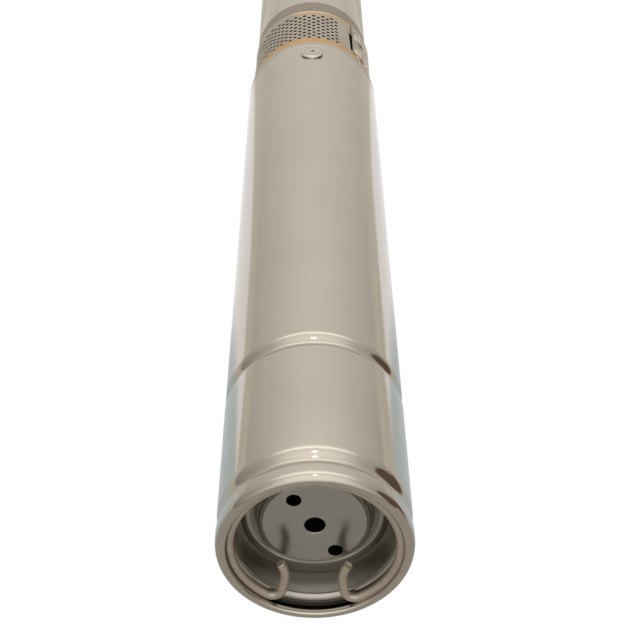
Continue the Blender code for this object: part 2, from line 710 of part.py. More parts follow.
def build_stator():
    """Stack of slotted steel sheets, with the copper winding in its slots."""
    bore = notched_circle(STATOR_BORE_RADIUS, STATOR_SLOTS, SLOT_WIDTH,
                          STATOR_BORE_RADIUS + SLOT_DEPTH, 2)
    rim = circle(CASING_BORE - FIT_GAP, CASING_FACETS, math.pi / CASING_FACETS)
    slab("stator_core", (rim, bore), STATOR_Z, STATOR_TOP_Z, LAMINATION, PUMP)
    inner = STATOR_BORE_RADIUS + SLOT_MOUTH
    outer = STATOR_BORE_RADIUS + SLOT_DEPTH - FIT_GAP
    winding = turned("stator_winding",
                     tube_points(outer, inner, STATOR_Z - WINDING_OVERHANG,
                                 STATOR_Z - FIT_GAP), BRACKET_FACETS, COPPER, PUMP)
    upper = turned_cutter("winding_top",
                          tube_points(outer, inner, STATOR_TOP_Z + FIT_GAP,
                                      STATOR_TOP_Z + WINDING_OVERHANG), BRACKET_FACETS, PUMP)
    half = SLOT_WIDTH / 2 - FIT_GAP
    for i in range(STATOR_SLOTS):
        bar = box_mesh("winding_bar",
                       (inner + 2 * FIT_GAP, -half, STATOR_Z - WINDING_OVERHANG / 2),
                       (outer - 2 * FIT_GAP, half, STATOR_TOP_Z + WINDING_OVERHANG / 2),
                       about_shaft(i * 2 * math.pi / STATOR_SLOTS))
        cut(winding, cutter("winding_bar_%d" % (i + 1), bar, PUMP), "UNION")
    cut(winding, upper, "UNION")


def build_rotor():
    """Steel sheets cast into an aluminium cage, pressed on the motor shaft."""
    radius = ROTOR_RADIUS
    bore = SHAFT_RADIUS + SHAFT_SHOULDER + FIT_GAP
    notch = ROTOR_BAR_WIDTH
    slab("rotor_core",
         (notched_circle(radius, ROTOR_BARS, notch, radius - notch, 3),
          circle(bore, INNER_FACETS, math.pi / INNER_FACETS)),
         STATOR_Z, STATOR_TOP_Z, LAMINATION, ROTOR)
    outer = radius - ROTOR_SKIN
    inner = radius - END_RING_WALL
    cage = turned("rotor_cage",
                  tube_points(outer, inner, STATOR_Z - END_RING_HEIGHT, STATOR_Z - FIT_GAP),
                  COVER_FACETS, CAST_ALUMINIUM, ROTOR)
    ring = turned_cutter("rotor_cage_top",
                         tube_points(outer, inner, STATOR_TOP_Z + FIT_GAP,
                                     STATOR_TOP_Z + END_RING_HEIGHT), COVER_FACETS, ROTOR)
    half = notch / 2 - FIT_GAP
    for i in range(ROTOR_BARS):
        bar = box_mesh("rotor_bar",
                       (radius - notch + FIT_GAP, -half, STATOR_Z - END_RING_HEIGHT / 2),
                       (radius - 3 * FIT_GAP, half, STATOR_TOP_Z + END_RING_HEIGHT / 2),
                       about_shaft(i * 2 * math.pi / ROTOR_BARS))
        cut(cage, cutter("rotor_bar_%d" % (i + 1), bar, ROTOR), "UNION")
    cut(cage, ring, "UNION")


def build_motor_shaft():
    """Ground shaft: journals, the rotor seat, and a hexagon for the coupling."""
    journal = SHAFT_RADIUS
    seat = SHAFT_RADIUS + SHAFT_SHOULDER
    seal = SEAL_SHAFT_RADIUS
    bottom = LOWER_BEARING_Z - SHAFT_OVERRUN
    shoulder = LOWER_BEARING_Z + BEARING_WIDTH + FIT_GAP
    upper = UPPER_BEARING_Z - FIT_GAP
    step = UPPER_BEARING_Z + BEARING_WIDTH + SHAFT_OVERRUN
    outline = [(seal, HEX_START_Z), (seal, step), (journal, step), (journal, upper),
               (seat, upper), (seat, shoulder), (journal, shoulder), (journal, bottom)]
    shaft = turned("motor_shaft", solid_points(outline), INNER_FACETS, SHAFT_STEEL, ROTOR,
                   closed=False)
    drive = slab_cutter("motor_shaft_hexagon", circle(HEX_CORNER, 6),
                        HEX_START_Z - SHAFT_OVERRUN, SHAFT_TOP_Z, ROTOR)
    cut(shaft, drive, "UNION")


def slab_cutter(name, outline, low, high, axis):
    """A prism used as a tool on another piece."""
    mesh = bpy.data.meshes.new(name)
    shape = bmesh.new()
    face = shape.faces.new([shape.verts.new((x, y, low)) for x, y in outline])
    grown = bmesh.ops.extrude_face_region(shape, geom=[face])
    top = [item for item in grown["geom"] if isinstance(item, bmesh.types.BMVert)]
    bmesh.ops.translate(shape, verts=top, vec=(0.0, 0.0, high - low))
    bmesh.ops.recalc_face_normals(shape, faces=shape.faces)
    shape.to_mesh(mesh)
    shape.free()
    return cutter(name, mesh, axis)


# Motor head and shaft seal

def build_motor_head():
    """Casting that closes the motor, holds its upper bearing and seal seat."""
    rim = CASING_BORE - FIT_GAP
    bearing_top = UPPER_BEARING_Z + BEARING_WIDTH + FIT_GAP
    oring_low = ORING_Z - ORING_SECTION / 2 - FIT_GAP
    oring_high = ORING_Z + ORING_SECTION / 2 + FIT_GAP
    groove = rim - ORING_SECTION - FIT_GAP
    flange = CASING_LENGTH + FIT_GAP
    passage = SEAL_SHAFT_RADIUS + SEAL_RUNNING_GAP + 2 * FIT_GAP
    seal_pocket = SEAL_SEAT_RADIUS + FIT_GAP
    seal_floor = HEAD_TOP_Z - SEAL_SEAT_HEIGHT - FIT_GAP
    points = [(CASING_RADIUS, HEAD_TOP_Z), (CASING_RADIUS, flange), (rim, flange),
              (rim, oring_high), (groove, oring_high), (groove, oring_low),
              (rim, oring_low), (rim, HEAD_Z), (BEARING_SEAT_RADIUS, HEAD_Z),
              (BEARING_SEAT_RADIUS, bearing_top), (passage, bearing_top),
              (passage, seal_floor), (seal_pocket, seal_floor), (seal_pocket, HEAD_TOP_Z)]
    head = turned("motor_head", points, CASING_FACETS, HEAD_STEEL, PUMP)
    for i in range(CASING_SCREWS):
        hole = rod_mesh("tapped_hole", SCREW_SHANK_RADIUS + FIT_GAP,
                        CASING_RADIUS - SCREW_LENGTH - FIT_GAP, CASING_RADIUS, SCREW_FACETS,
                        radial(i * 2 * math.pi / CASING_SCREWS, SCREW_Z))
        cut(head, cutter("tapped_hole_%d" % (i + 1), hole, PUMP))
    hole = rod_mesh("gland_hole", GLAND_RADIUS + FIT_GAP, HEAD_Z - TOOL_REACH,
                    HEAD_TOP_Z + TOOL_REACH, INNER_FACETS,
                    off_shaft(GLAND_ANGLE, GLAND_PITCH_RADIUS))
    cut(head, cutter("gland_hole", hole, PUMP))


def torus_points(major, minor, z, sides):
    """The section of a round ring, going down its outer side first."""
    return [(major + minor * math.cos(math.pi / 2 - i * 2 * math.pi / sides),
             z + minor * math.sin(math.pi / 2 - i * 2 * math.pi / sides))
            for i in range(sides)]


def build_head_oring():
    middle = CASING_BORE - FIT_GAP - ORING_SECTION / 2
    turned("head_oring", torus_points(middle, ORING_SECTION / 2, ORING_Z, 6),
           CASING_FACETS, RUBBER, PUMP)


def build_screw(name, angle, z, seat_radius):
    """Pan-head screw with a cross recess, standing out from the shaft."""
    top = SCREW_HEAD_HEIGHT
    points = [(0.0, top), (SCREW_FLAT_RADIUS, top), (SCREW_HEAD_RADIUS * 0.85, top * 0.65),
              (SCREW_HEAD_RADIUS, 0.0), (SCREW_SHANK_RADIUS, 0.0),
              (SCREW_SHANK_RADIUS, -SCREW_LENGTH), (0.0, -SCREW_LENGTH)]
    mesh = outline_mesh(name, points, False)
    screw = place(name, mesh, SCREW_STEEL, PUMP)
    screw.matrix_local = radial(angle, z) @ Matrix.Translation((0, 0, seat_radius + FIT_GAP))
    add_turn(screw, SCREW_FACETS)
    for i, turn in enumerate((0.0, math.pi / 2)):
        slot = box_mesh("recess", (-RECESS_LENGTH / 2, -RECESS_WIDTH / 2, top - RECESS_DEPTH),
                        (RECESS_LENGTH / 2, RECESS_WIDTH / 2, top + TOOL_REACH),
                        about_shaft(turn))
        tool = cutter("%s_recess_%d" % (name, i + 1), slot, PUMP)
        tool.matrix_local = screw.matrix_local
        cut(screw, tool)


def build_shaft_seal():
    """Mechanical seal: a fixed seat, a carbon ring on a spring, and a collar."""
    bore = SEAL_SHAFT_RADIUS + FIT_GAP
    turned("seal_seat",
           tube_points(SEAL_SEAT_RADIUS, SEAL_SHAFT_RADIUS + SEAL_RUNNING_GAP,
                       HEAD_TOP_Z - SEAL_SEAT_HEIGHT, HEAD_TOP_Z - FIT_GAP),
           INNER_FACETS, CERAMIC, PUMP)
    top = HEAD_TOP_Z + SEAL_FACE_HEIGHT
    turned("seal_face", tube_points(SEAL_FACE_RADIUS, bore, HEAD_TOP_Z, top), INNER_FACETS,
           CARBON, ROTOR)
    wire_radius = SEAL_SPRING_WIRE / 2
    coil = (SEAL_FACE_RADIUS + bore) / 2
    steps = int(SEAL_SPRING_TURNS * 9)
    run = SEAL_SPRING_LENGTH - SEAL_SPRING_WIRE - 2 * FIT_GAP
    path = []
    for i in range(steps + 1):
        angle = SEAL_SPRING_TURNS * 2 * math.pi * i / steps
        z = top + FIT_GAP + wire_radius + run * i / steps
        path.append((coil * math.cos(angle), coil * math.sin(angle), z))
    wire("seal_spring", path, wire_radius, WIRE_STEEL, ROTOR, 0)
    turned("seal_collar",
           tube_points(SEAL_FACE_RADIUS, bore, top + SEAL_SPRING_LENGTH, SEAL_TOP_Z),
           INNER_FACETS, HEAD_STEEL, ROTOR)


def build_gland():
    """Rubber gland that seals the motor's cable outlet; no cable is fitted."""
    mesh = rod_mesh("cable_gland", GLAND_RADIUS, ORING_Z - ORING_SECTION,
                    HEAD_TOP_Z - FIT_GAP, INNER_FACETS,
                    off_shaft(GLAND_ANGLE, GLAND_PITCH_RADIUS))
    place("cable_gland", mesh, RUBBER, PUMP)


def build_coupling():
    """Sleeve that joins the two hexagon ends of the shafts."""
    low = COUPLING_Z
    high = COUPLING_Z + COUPLING_LENGTH
    edge = COUPLING_RADIUS - COUPLING_CHAMFER
    coupling = turned("shaft_coupling",
                      [(edge, high), (COUPLING_RADIUS, high - COUPLING_CHAMFER),
                       (COUPLING_RADIUS, low + COUPLING_CHAMFER), (edge, low),
                       (0.0, low), (0.0, high)],
                      INNER_FACETS, SHAFT_STEEL, ROTOR)
    bore = slab_cutter("coupling_hexagon", circle(HEX_BORE_CORNER, 6),
                       low - TOOL_REACH, high + TOOL_REACH, ROTOR)
    cut(coupling, bore)


# Suction casting, strainer and cable cover

def inlet_radius(z):
    """Outer radius of the strainer's seat: a cone, and then a straight waist."""
    rise = max(0.0, min(1.0, (z - SCREEN_Z) / SCREEN_WAIST_RISE))
    return SCREEN_FOOT_RADIUS + (SCREEN_WAIST_RADIUS - SCREEN_FOOT_RADIUS) * rise


def build_inlet_casting():
    """Brass casting: two rings and ribs, open between them for the water."""
    foot_top = INLET_Z + INLET_FLANGE_HEIGHT
    ring_top = INLET_RING_TOP_Z
    spigot_top = ring_top + INLET_SPIGOT
    casting = turned("inlet_casting",
                     tube_points(CASING_RADIUS - INLET_FLANGE_STEP, INLET_BORE, INLET_Z,
                                 foot_top), CASING_FACETS, BRASS, PUMP)
    crown = turned_cutter("inlet_crown",
                          [(SPIGOT_RADIUS, spigot_top), (SPIGOT_RADIUS, ring_top),
                           (INLET_TOP_RADIUS, ring_top), (INLET_TOP_RADIUS, INLET_RING_Z),
                           (INLET_BORE, INLET_RING_Z), (INLET_BORE, ring_top),
                           (SPIGOT_RADIUS - INLET_SPIGOT_WALL, spigot_top)],
                          CASING_FACETS, PUMP)
    inner = INLET_BORE + INLET_RIB_SET
    for i in range(INLET_RIBS):
        angle = RIB_ANGLE + i * 2 * math.pi / INLET_RIBS
        width, sheet = ((COVER_BOSS_WIDTH, COVER_PLATE) if i == 0
                        else (INLET_RIB_WIDTH, SCREEN_SHEET))
        half = width / 2
        outer = SCREEN_WAIST_RADIUS - sheet - 2 * FIT_GAP
        rib = box_mesh("inlet_rib", (inner, -half, foot_top - INLET_RIB_SET),
                       (outer, half, INLET_RING_Z + INLET_RIB_SET), about_shaft(clock(angle)))
        cut(casting, cutter("inlet_rib_%d" % (i + 1), rib, PUMP), "UNION")
    cut(casting, crown, "UNION")
    for i, z in enumerate((COVER_SCREW_LOW_Z, COVER_SCREW_HIGH_Z)):
        hole = rod_mesh("cover_tapped_hole", SCREW_SHANK_RADIUS + FIT_GAP,
                        INLET_BORE - TOOL_REACH, CASING_RADIUS, SCREW_FACETS,
                        radial(RIB_ANGLE, z))
        cut(casting, cutter("cover_tapped_hole_%d" % (i + 1), hole, PUMP))
    passage = rod_mesh("cable_passage", GLAND_RADIUS + FIT_GAP, INLET_Z - TOOL_REACH,
                       foot_top + TOOL_REACH, INNER_FACETS,
                       off_shaft(GLAND_ANGLE, GLAND_PITCH_RADIUS))
    cut(casting, cutter("cable_passage", passage, PUMP))


def finish_sheet(name, mesh, shape, thickness, finish):
    bmesh.ops.recalc_face_normals(shape, faces=shape.faces)
    shape.to_mesh(mesh)
    shape.free()
    part = place(name, mesh, finish, PUMP)
    sheet = part.modifiers.new("Sheet", "SOLIDIFY")
    sheet.thickness = thickness
    sheet.offset = -1.0
    return part


def build_strainer_screen():
    """Perforated stainless sheet, wrapped round the casting and open at the
    cable cover. Its holes are fewer and larger than the real ones."""
    start = COVER_SECTOR_END + SCREEN_SEAM
    end = COVER_SECTOR_START - CABLE_SLOT + 2 * math.pi
    low = SCREEN_Z
    high = INLET_RING_Z - FIT_GAP
    pierced_start = start + PLAIN_MARGIN
    pierced_end = end - PLAIN_MARGIN
    mesh = bpy.data.meshes.new("strainer_screen")
    shape = bmesh.new()
    angles = [start] + [pierced_start + (pierced_end - pierced_start) * i / SCREEN_COLUMNS
                        for i in range(SCREEN_COLUMNS + 1)] + [end]
    holes_low = low + SCREEN_MARGIN
    holes_high = high - SCREEN_MARGIN
    heights = [low] + [holes_low + (holes_high - holes_low) * i / SCREEN_ROWS
                       for i in range(SCREEN_ROWS + 1)] + [high]
    grid = []
    for z in heights:
        radius = inlet_radius(z)
        grid.append([shape.verts.new((radius * math.cos(clock(a)), radius * math.sin(clock(a)), z))
                     for a in angles])
    cells = []
    for j, (row, above) in enumerate(zip(grid, grid[1:])):
        for i in range(len(angles) - 1):
            face = shape.faces.new((row[i], row[i + 1], above[i + 1], above[i]))
            if 0 < i < len(angles) - 2 and 0 < j < len(heights) - 2:
                cells.append(face)
    shape.normal_update()
    bmesh.ops.inset_individual(shape, faces=cells, thickness=SCREEN_BAR, use_even_offset=True)
    bmesh.ops.delete(shape, geom=cells, context="FACES")
    finish_sheet("strainer_screen", mesh, shape, SCREEN_SHEET, SCREEN_STEEL)


def cover_seat(z):
    """The highest the cover plate stands under a screw's head, on its sloping face."""
    return max(inlet_radius(z - SCREW_HEAD_RADIUS), inlet_radius(z + SCREW_HEAD_RADIUS))


def build_cable_cover():
    """Stainless plate that closes the screen over the cable outlet, flush with it."""
    heights = [SCREEN_Z, SCREEN_Z + SCREEN_WAIST_RISE, INLET_RING_Z - FIT_GAP]
    sector = COVER_SECTOR_END - COVER_SECTOR_START
    mesh = bpy.data.meshes.new("cable_cover")
    shape = bmesh.new()
    columns = 6
    grid = []
    for z in heights:
        radius = inlet_radius(z)
        grid.append([])
        for i in range(columns + 1):
            angle = clock(COVER_SECTOR_START + sector * i / columns)
            spot = (radius * math.cos(angle), radius * math.sin(angle), z)
            grid[-1].append(shape.verts.new(spot))
    for row, above in zip(grid, grid[1:]):
        for i in range(columns):
            shape.faces.new((row[i], row[i + 1], above[i + 1], above[i]))
    cover = finish_sheet("cable_cover", mesh, shape, COVER_PLATE, SCREEN_STEEL)
    for i, z in enumerate((COVER_SCREW_LOW_Z, COVER_SCREW_HIGH_Z)):
        hole = rod_mesh("cover_hole", SCREW_SHANK_RADIUS + FIT_GAP, CASING_RADIUS - SCREW_LENGTH,
                        CASING_RADIUS + TOOL_REACH, SCREW_FACETS, radial(RIB_ANGLE, z))
        cut(cover, cutter("cover_hole_%d" % (i + 1), hole, PUMP))


# Hydraulic end

def build_pump_shell():
    """Stainless tube round the stages, with a thicker collar at its lower end."""
    top = DISCHARGE_Z - FIT_GAP
    collar_top = PUMP_Z + PUMP_COLLAR_HEIGHT
    points = [(PUMP_RADIUS, top), (PUMP_RADIUS, collar_top + PUMP_TAPER),
              (PUMP_COLLAR_RADIUS, collar_top), (PUMP_COLLAR_RADIUS, PUMP_Z),
              (PUMP_BORE, PUMP_Z), (PUMP_BORE, top)]
    turned("pump_shell", points, CASING_FACETS, STEEL, PUMP)


def vane_mesh(name, inner, outer, low, high, start, reach):
    """One blade: a strip that sweeps back along a spiral as it runs out."""
    mesh = bpy.data.meshes.new(name)
    shape = bmesh.new()
    steps = 2
    near = []
    far = []
    for i in range(steps + 1):
        share = i / steps
        radius = inner + (outer - inner) * share
        angle = start - reach * share
        half = VANE_THICKNESS / 2 / radius
        near.append((radius * math.cos(angle - half), radius * math.sin(angle - half)))
        far.append((radius * math.cos(angle + half), radius * math.sin(angle + half)))
    outline = near + far[::-1]
    face = shape.faces.new([shape.verts.new((x, y, low)) for x, y in outline])
    grown = bmesh.ops.extrude_face_region(shape, geom=[face])
    top = [item for item in grown["geom"] if isinstance(item, bmesh.types.BMVert)]
    bmesh.ops.translate(shape, verts=top, vec=(0.0, 0.0, high - low))
    bmesh.ops.recalc_face_normals(shape, faces=shape.faces)
    shape.to_mesh(mesh)
    shape.free()
    return mesh


def build_impeller(number, base):
    """Closed impeller: back plate and hub, front plate with its eye, vanes."""
    low = base + BOWL_WALL + IMPELLER_CLEARANCE
    front = low + IMPELLER_PLATE
    back = front + IMPELLER_PASSAGE
    top = back + IMPELLER_PLATE
    name = "impeller_%d" % number
    body = turned(name,
                  [(IMPELLER_RADIUS, top), (IMPELLER_RADIUS, back), (HUB_RADIUS, back),
                   (HUB_RADIUS - HUB_TAPER, low), (0.0, low), (0.0, top)],
                  IMPELLER_FACETS, IMPELLER_PLASTIC, ROTOR)
    shroud = turned_cutter(name + "_shroud",
                           tube_points(IMPELLER_RADIUS, EYE_RADIUS, low, front),
                           IMPELLER_FACETS, ROTOR)
    tip = IMPELLER_RADIUS * math.cos(math.pi / IMPELLER_FACETS) - FIT_GAP
    for i in range(VANES):
        blade = vane_mesh("impeller_vane", HUB_RADIUS - HUB_TAPER, tip, front - VANE_SET,
                          back + VANE_SET, i * 2 * math.pi / VANES, VANE_SWEEP)
        cut(body, cutter("%s_vane_%d" % (name, i + 1), blade, ROTOR), "UNION")
    cut(body, shroud, "UNION")
    bore = slab_cutter(name + "_bore", circle(HEX_BORE_CORNER, 6), low - TOOL_REACH,
                       top + TOOL_REACH, ROTOR)
    cut(body, bore)


def build_diffuser(number, base):
    """Stage bowl: its floor has the eye, and vanes lead the water back in."""
    rim = BOWL_RADIUS
    wall = rim - BOWL_WALL
    floor = base + BOWL_WALL
    top = base + STAGE_PITCH - FIT_GAP
    eye = EYE_RADIUS + 2 * FIT_GAP
    name = "diffuser_%d" % number
    bowl = turned(name,
                  [(rim, top), (rim, base), (eye, base), (eye, floor), (wall, floor),
                   (wall, top)],
                  BOWL_FACETS, DIFFUSER_PLASTIC, PUMP)
    disc_low = floor + 2 * (IMPELLER_CLEARANCE + IMPELLER_PLATE) + IMPELLER_PASSAGE
    disc = turned_cutter(name + "_disc",
                         tube_points(IMPELLER_RADIUS, SHAFT_CLEAR_RADIUS, disc_low,
                                     disc_low + BOWL_WALL), BOWL_FACETS, PUMP)
    for i in range(VANES):
        blade = vane_mesh("diffuser_vane", SHAFT_CLEAR_RADIUS + VANE_SET, wall + VANE_SET,
                          disc_low + VANE_SET, top - VANE_SETBACK, i * 2 * math.pi / VANES,
                          -VANE_SWEEP)
        cut(bowl, cutter("%s_vane_%d" % (name, i + 1), blade, PUMP), "UNION")
    cut(bowl, disc, "UNION")


def build_pump_shaft():
    """Hexagon bar from the coupling through every impeller."""
    slab("pump_shaft", (circle(HEX_CORNER, 6),), SHAFT_TOP_Z + FIT_GAP,
         STAGES_TOP_Z + 2 * SHAFT_OVERRUN, SHAFT_STEEL, ROTOR)


def build_discharge_head():
    """Cast head: spigot in the shell, collar, threaded port and two rope lugs."""
    neck = NECK_RADIUS
    spigot_end = STAGES_TOP_Z + FIT_GAP
    collar = CASING_DIAMETER / 2 / math.cos(math.pi / COVER_FACETS)
    points = [(neck - DISCHARGE_CHAMFER, PUMP_LENGTH), (neck, PUMP_LENGTH - DISCHARGE_CHAMFER),
              (neck, COLLAR_TOP_Z + DISCHARGE_SHOULDER_HEIGHT),
              (collar - DISCHARGE_COLLAR_STEP, COLLAR_TOP_Z + DISCHARGE_COLLAR_TAPER),
              (collar, COLLAR_TOP_Z), (collar, DISCHARGE_Z),
              (BOWL_RADIUS, DISCHARGE_Z), (BOWL_RADIUS, spigot_end),
              (BOWL_RADIUS - DISCHARGE_SPIGOT_WALL, spigot_end),
              (VALVE_SEAT_RADIUS, VALVE_Z - VALVE_SEAT_HEIGHT),
              (VALVE_SEAT_RADIUS, VALVE_Z), (CHAMBER_RADIUS, VALVE_Z),
              (CHAMBER_RADIUS, PORT_FLOOR_Z - PORT_TAPER),
              (PORT_RADIUS, PORT_FLOOR_Z), (PORT_RADIUS, PUMP_LENGTH)]
    head = turned("discharge_head", points, COVER_FACETS, HEAD_STEEL, PUMP)
    half = ROPE_LUG_THICKNESS / 2
    lug_top = ROPE_HOLE_Z + ROPE_HOLE_RADIUS + ROPE_LUG_TIP
    for i, angle in enumerate((math.pi / 2, -math.pi / 2)):
        lug = box_mesh("rope_lug", (neck - ROPE_LUG_SET, -half, COLLAR_TOP_Z - ROPE_LUG_SET),
                       (ROPE_LUG_REACH, half, lug_top), about_shaft(clock(angle)))
        cut(head, cutter("rope_lug_%d" % (i + 1), lug, PUMP), "UNION")
        spot = (off_shaft(angle, ROPE_HOLE_X) @ Matrix.Translation((0.0, 0.0, ROPE_HOLE_Z))
                @ Matrix.Rotation(math.pi / 2, 4, "X"))
        hole = rod_mesh("rope_hole", ROPE_HOLE_RADIUS, -half - TOOL_REACH, half + TOOL_REACH,
                        INNER_FACETS, spot)
        cut(head, cutter("rope_hole_%d" % (i + 1), hole, PUMP))


def build_check_valve():
    """Loose poppet over the seat, guided by a spider under the port."""
    low = VALVE_Z + FIT_GAP
    guide_low = GUIDE_TOP_Z - GUIDE_HEIGHT
    disc_top = low + POPPET_DISC
    poppet = [(STEM_RADIUS, guide_low + STEM_ENGAGEMENT),
              (STEM_RADIUS, disc_top + POPPET_COLLAR), (2 * STEM_RADIUS, disc_top + FIT_GAP),
              (POPPET_RADIUS, disc_top), (POPPET_RADIUS, low),
              (VALVE_SEAT_RADIUS - POPPET_TAPER, low),
              (VALVE_SEAT_RADIUS - POPPET_TAPER - POPPET_NOSE, low - POPPET_NOSE)]
    turned("valve_poppet", solid_points(poppet), INNER_FACETS, VALVE_PLASTIC, VALVE,
           closed=False)
    bore = STEM_RADIUS + FIT_GAP
    outer = bore + GUIDE_WALL
    guide = turned("valve_guide", solid_points([(outer, GUIDE_TOP_Z), (outer, guide_low)]),
                   INNER_FACETS, VALVE_PLASTIC, PUMP, closed=False)
    reach = CHAMBER_RADIUS * math.cos(math.pi / COVER_FACETS) - FIT_GAP
    half = GUIDE_BAR_WIDTH / 2
    for i in range(2):
        bar = box_mesh("guide_bar", (-reach, -half, GUIDE_TOP_Z - GUIDE_BAR_HEIGHT),
                       (reach, half, GUIDE_TOP_Z), about_shaft(i * math.pi / 2))
        cut(guide, cutter("guide_bar_%d" % (i + 1), bar, PUMP), "UNION")
    stem_clear = rod_mesh("guide_bore", bore, guide_low - TOOL_REACH, GUIDE_TOP_Z + TOOL_REACH,
                          INNER_FACETS, about_shaft(math.pi / INNER_FACETS))
    cut(guide, cutter("guide_bore", stem_clear, PUMP))


def build_pump():
    build_motor_casing()
    build_base_cover()
    build_retaining_ring()
    build_diaphragm()
    build_lower_bracket()
    build_bearing("lower", LOWER_BEARING_Z, LOWER_CAGE)
    build_bearing("upper", UPPER_BEARING_Z, UPPER_CAGE)
    build_stator()
    build_rotor()
    build_motor_shaft()
    build_motor_head()
    build_head_oring()
    for i in range(CASING_SCREWS):
        build_screw("casing_screw_%d" % (i + 1), i * 2 * math.pi / CASING_SCREWS, SCREW_Z,
                    CASING_DIAMETER / 2)
    build_shaft_seal()
    build_gland()
    build_coupling()
    build_inlet_casting()
    build_strainer_screen()
    build_cable_cover()
    for i, z in enumerate((COVER_SCREW_LOW_Z, COVER_SCREW_HIGH_Z)):
        build_screw("cover_screw_%d" % (i + 1), RIB_ANGLE, z, cover_seat(z))
    build_pump_shell()
    for i in range(STAGES):
        base = STAGES_Z + i * STAGE_PITCH
        build_diffuser(i + 1, base)
        build_impeller(i + 1, base)
    build_pump_shaft()
    build_discharge_head()
    build_check_valve()


clear_scene()
PARTS = new_collection(PUMP_NAME)
CUTTERS = new_collection("cutters")
PUMP = new_axis("pump_axis")
ROTOR = new_axis("rotor_axis", PUMP)
LOWER_CAGE = new_axis("lower_cage_axis", PUMP)
UPPER_CAGE = new_axis("upper_cage_axis", PUMP)
VALVE = new_axis("valve_axis", PUMP)

STEEL = material("satin stainless steel", (0.47, 0.43, 0.37), 0.28, 1.0)
BASE_STEEL = material("pressed stainless steel", (0.38, 0.37, 0.34), 0.25, 1.0)
WIRE_STEEL = material("spring wire", (0.36, 0.35, 0.33), 0.35, 1.0)
HEAD_STEEL = material("turned stainless steel", (0.55, 0.55, 0.53), 0.25, 1.0)
SCREEN_STEEL = material("perforated stainless sheet", (0.47, 0.43, 0.37), 0.30, 1.0)
SCREW_STEEL = material("stainless screw", (0.60, 0.57, 0.52), 0.25, 1.0)
BRASS = material("cast brass", (0.65, 0.44, 0.20), 0.35, 1.0)
SHAFT_STEEL = material("ground shaft steel", (0.60, 0.60, 0.60), 0.18, 1.0)
BEARING_STEEL = material("bearing steel", (0.58, 0.58, 0.60), 0.12, 1.0)
LAMINATION = material("electrical steel", (0.20, 0.20, 0.22), 0.45, 1.0)
COPPER = material("enamelled copper", (0.55, 0.22, 0.08), 0.35, 1.0)
CAST_ALUMINIUM = material("cast aluminium", (0.60, 0.61, 0.62), 0.45, 1.0)
RUBBER = material("nitrile rubber", (0.02, 0.02, 0.02), 0.70, 0.0)
CERAMIC = material("ceramic seat", (0.80, 0.78, 0.72), 0.20, 0.0)
CARBON = material("carbon ring", (0.03, 0.03, 0.03), 0.30, 0.0)
IMPELLER_PLASTIC = material("impeller plastic", (0.70, 0.68, 0.60), 0.40, 0.0)
DIFFUSER_PLASTIC = material("diffuser plastic", (0.05, 0.05, 0.06), 0.45, 0.0)
VALVE_PLASTIC = material("valve plastic", (0.75, 0.74, 0.70), 0.40, 0.0)

build_pump()
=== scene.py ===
"""The borehole submersible pump, lying on a white floor as it was photographed."""

import math

import bmesh
import bpy
from mathutils import Matrix, Vector


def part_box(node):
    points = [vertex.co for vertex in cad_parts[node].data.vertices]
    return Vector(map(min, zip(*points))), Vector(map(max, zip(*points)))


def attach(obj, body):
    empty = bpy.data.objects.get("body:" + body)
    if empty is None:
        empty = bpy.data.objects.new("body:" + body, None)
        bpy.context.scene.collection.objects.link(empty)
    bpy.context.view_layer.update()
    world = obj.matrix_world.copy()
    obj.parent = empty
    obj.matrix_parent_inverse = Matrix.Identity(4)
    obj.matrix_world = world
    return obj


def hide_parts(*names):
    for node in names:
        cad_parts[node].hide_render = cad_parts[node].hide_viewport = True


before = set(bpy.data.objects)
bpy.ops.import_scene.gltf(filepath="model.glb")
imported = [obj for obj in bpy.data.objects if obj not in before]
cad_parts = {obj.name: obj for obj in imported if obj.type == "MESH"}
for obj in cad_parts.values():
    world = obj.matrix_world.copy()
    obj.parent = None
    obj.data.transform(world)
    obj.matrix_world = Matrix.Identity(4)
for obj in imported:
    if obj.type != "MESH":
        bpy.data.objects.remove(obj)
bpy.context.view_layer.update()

# The photograph's camera: above the motor's open base, looking up the pump.
# The pump's own frame has its shaft along z, with z = 0 at the casing's lip;
# pump_frame turns it into the world, where the shaft lies along +Y.
casing_low, casing_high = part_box("motor_casing")
axis_height = (casing_high[2] + casing_low[2]) / 2
casing_radius = (casing_high[2] - casing_low[2]) / 2
lip_y = casing_low[1]
pump_frame = (Matrix.Translation((0.0, lip_y, axis_height))
              @ Matrix.Rotation(-math.pi / 2, 4, "X"))

camera_data = bpy.data.cameras.new("photograph_camera")
camera = bpy.data.objects.new("photograph_camera", camera_data)
bpy.context.scene.collection.objects.link(camera)
camera_data.sensor_width = 36.0
camera_data.lens = 75.35
camera_data.clip_start = 0.01
camera.location = (-0.00168, lip_y - 0.35221, axis_height + 0.36148)
camera.rotation_euler = (math.pi / 2 - 0.6199, 0.0, -0.0047)
bpy.context.scene.camera = camera
bpy.context.scene.view_settings.view_transform = "Standard"


# Floor, room and lamp. The camera sees plain white, as the photograph is a cut-out; the
# metal mirrors a table with painted shade, blue-grey near the pump and pale beyond it,
# dim walls, a brown cabinet on the right, and a ceiling with a bright strip.
def add(tree, kind, inputs=None, **settings):
    """One shader node with its settings, and its inputs as values or links."""
    node = tree.nodes.new(kind)
    for name, value in settings.items():
        setattr(node, name, value)
    for socket, value in (inputs or {}).items():
        if isinstance(value, bpy.types.NodeSocket):
            tree.links.new(value, node.inputs[socket])
        else:
            node.inputs[socket].default_value = value
    return node


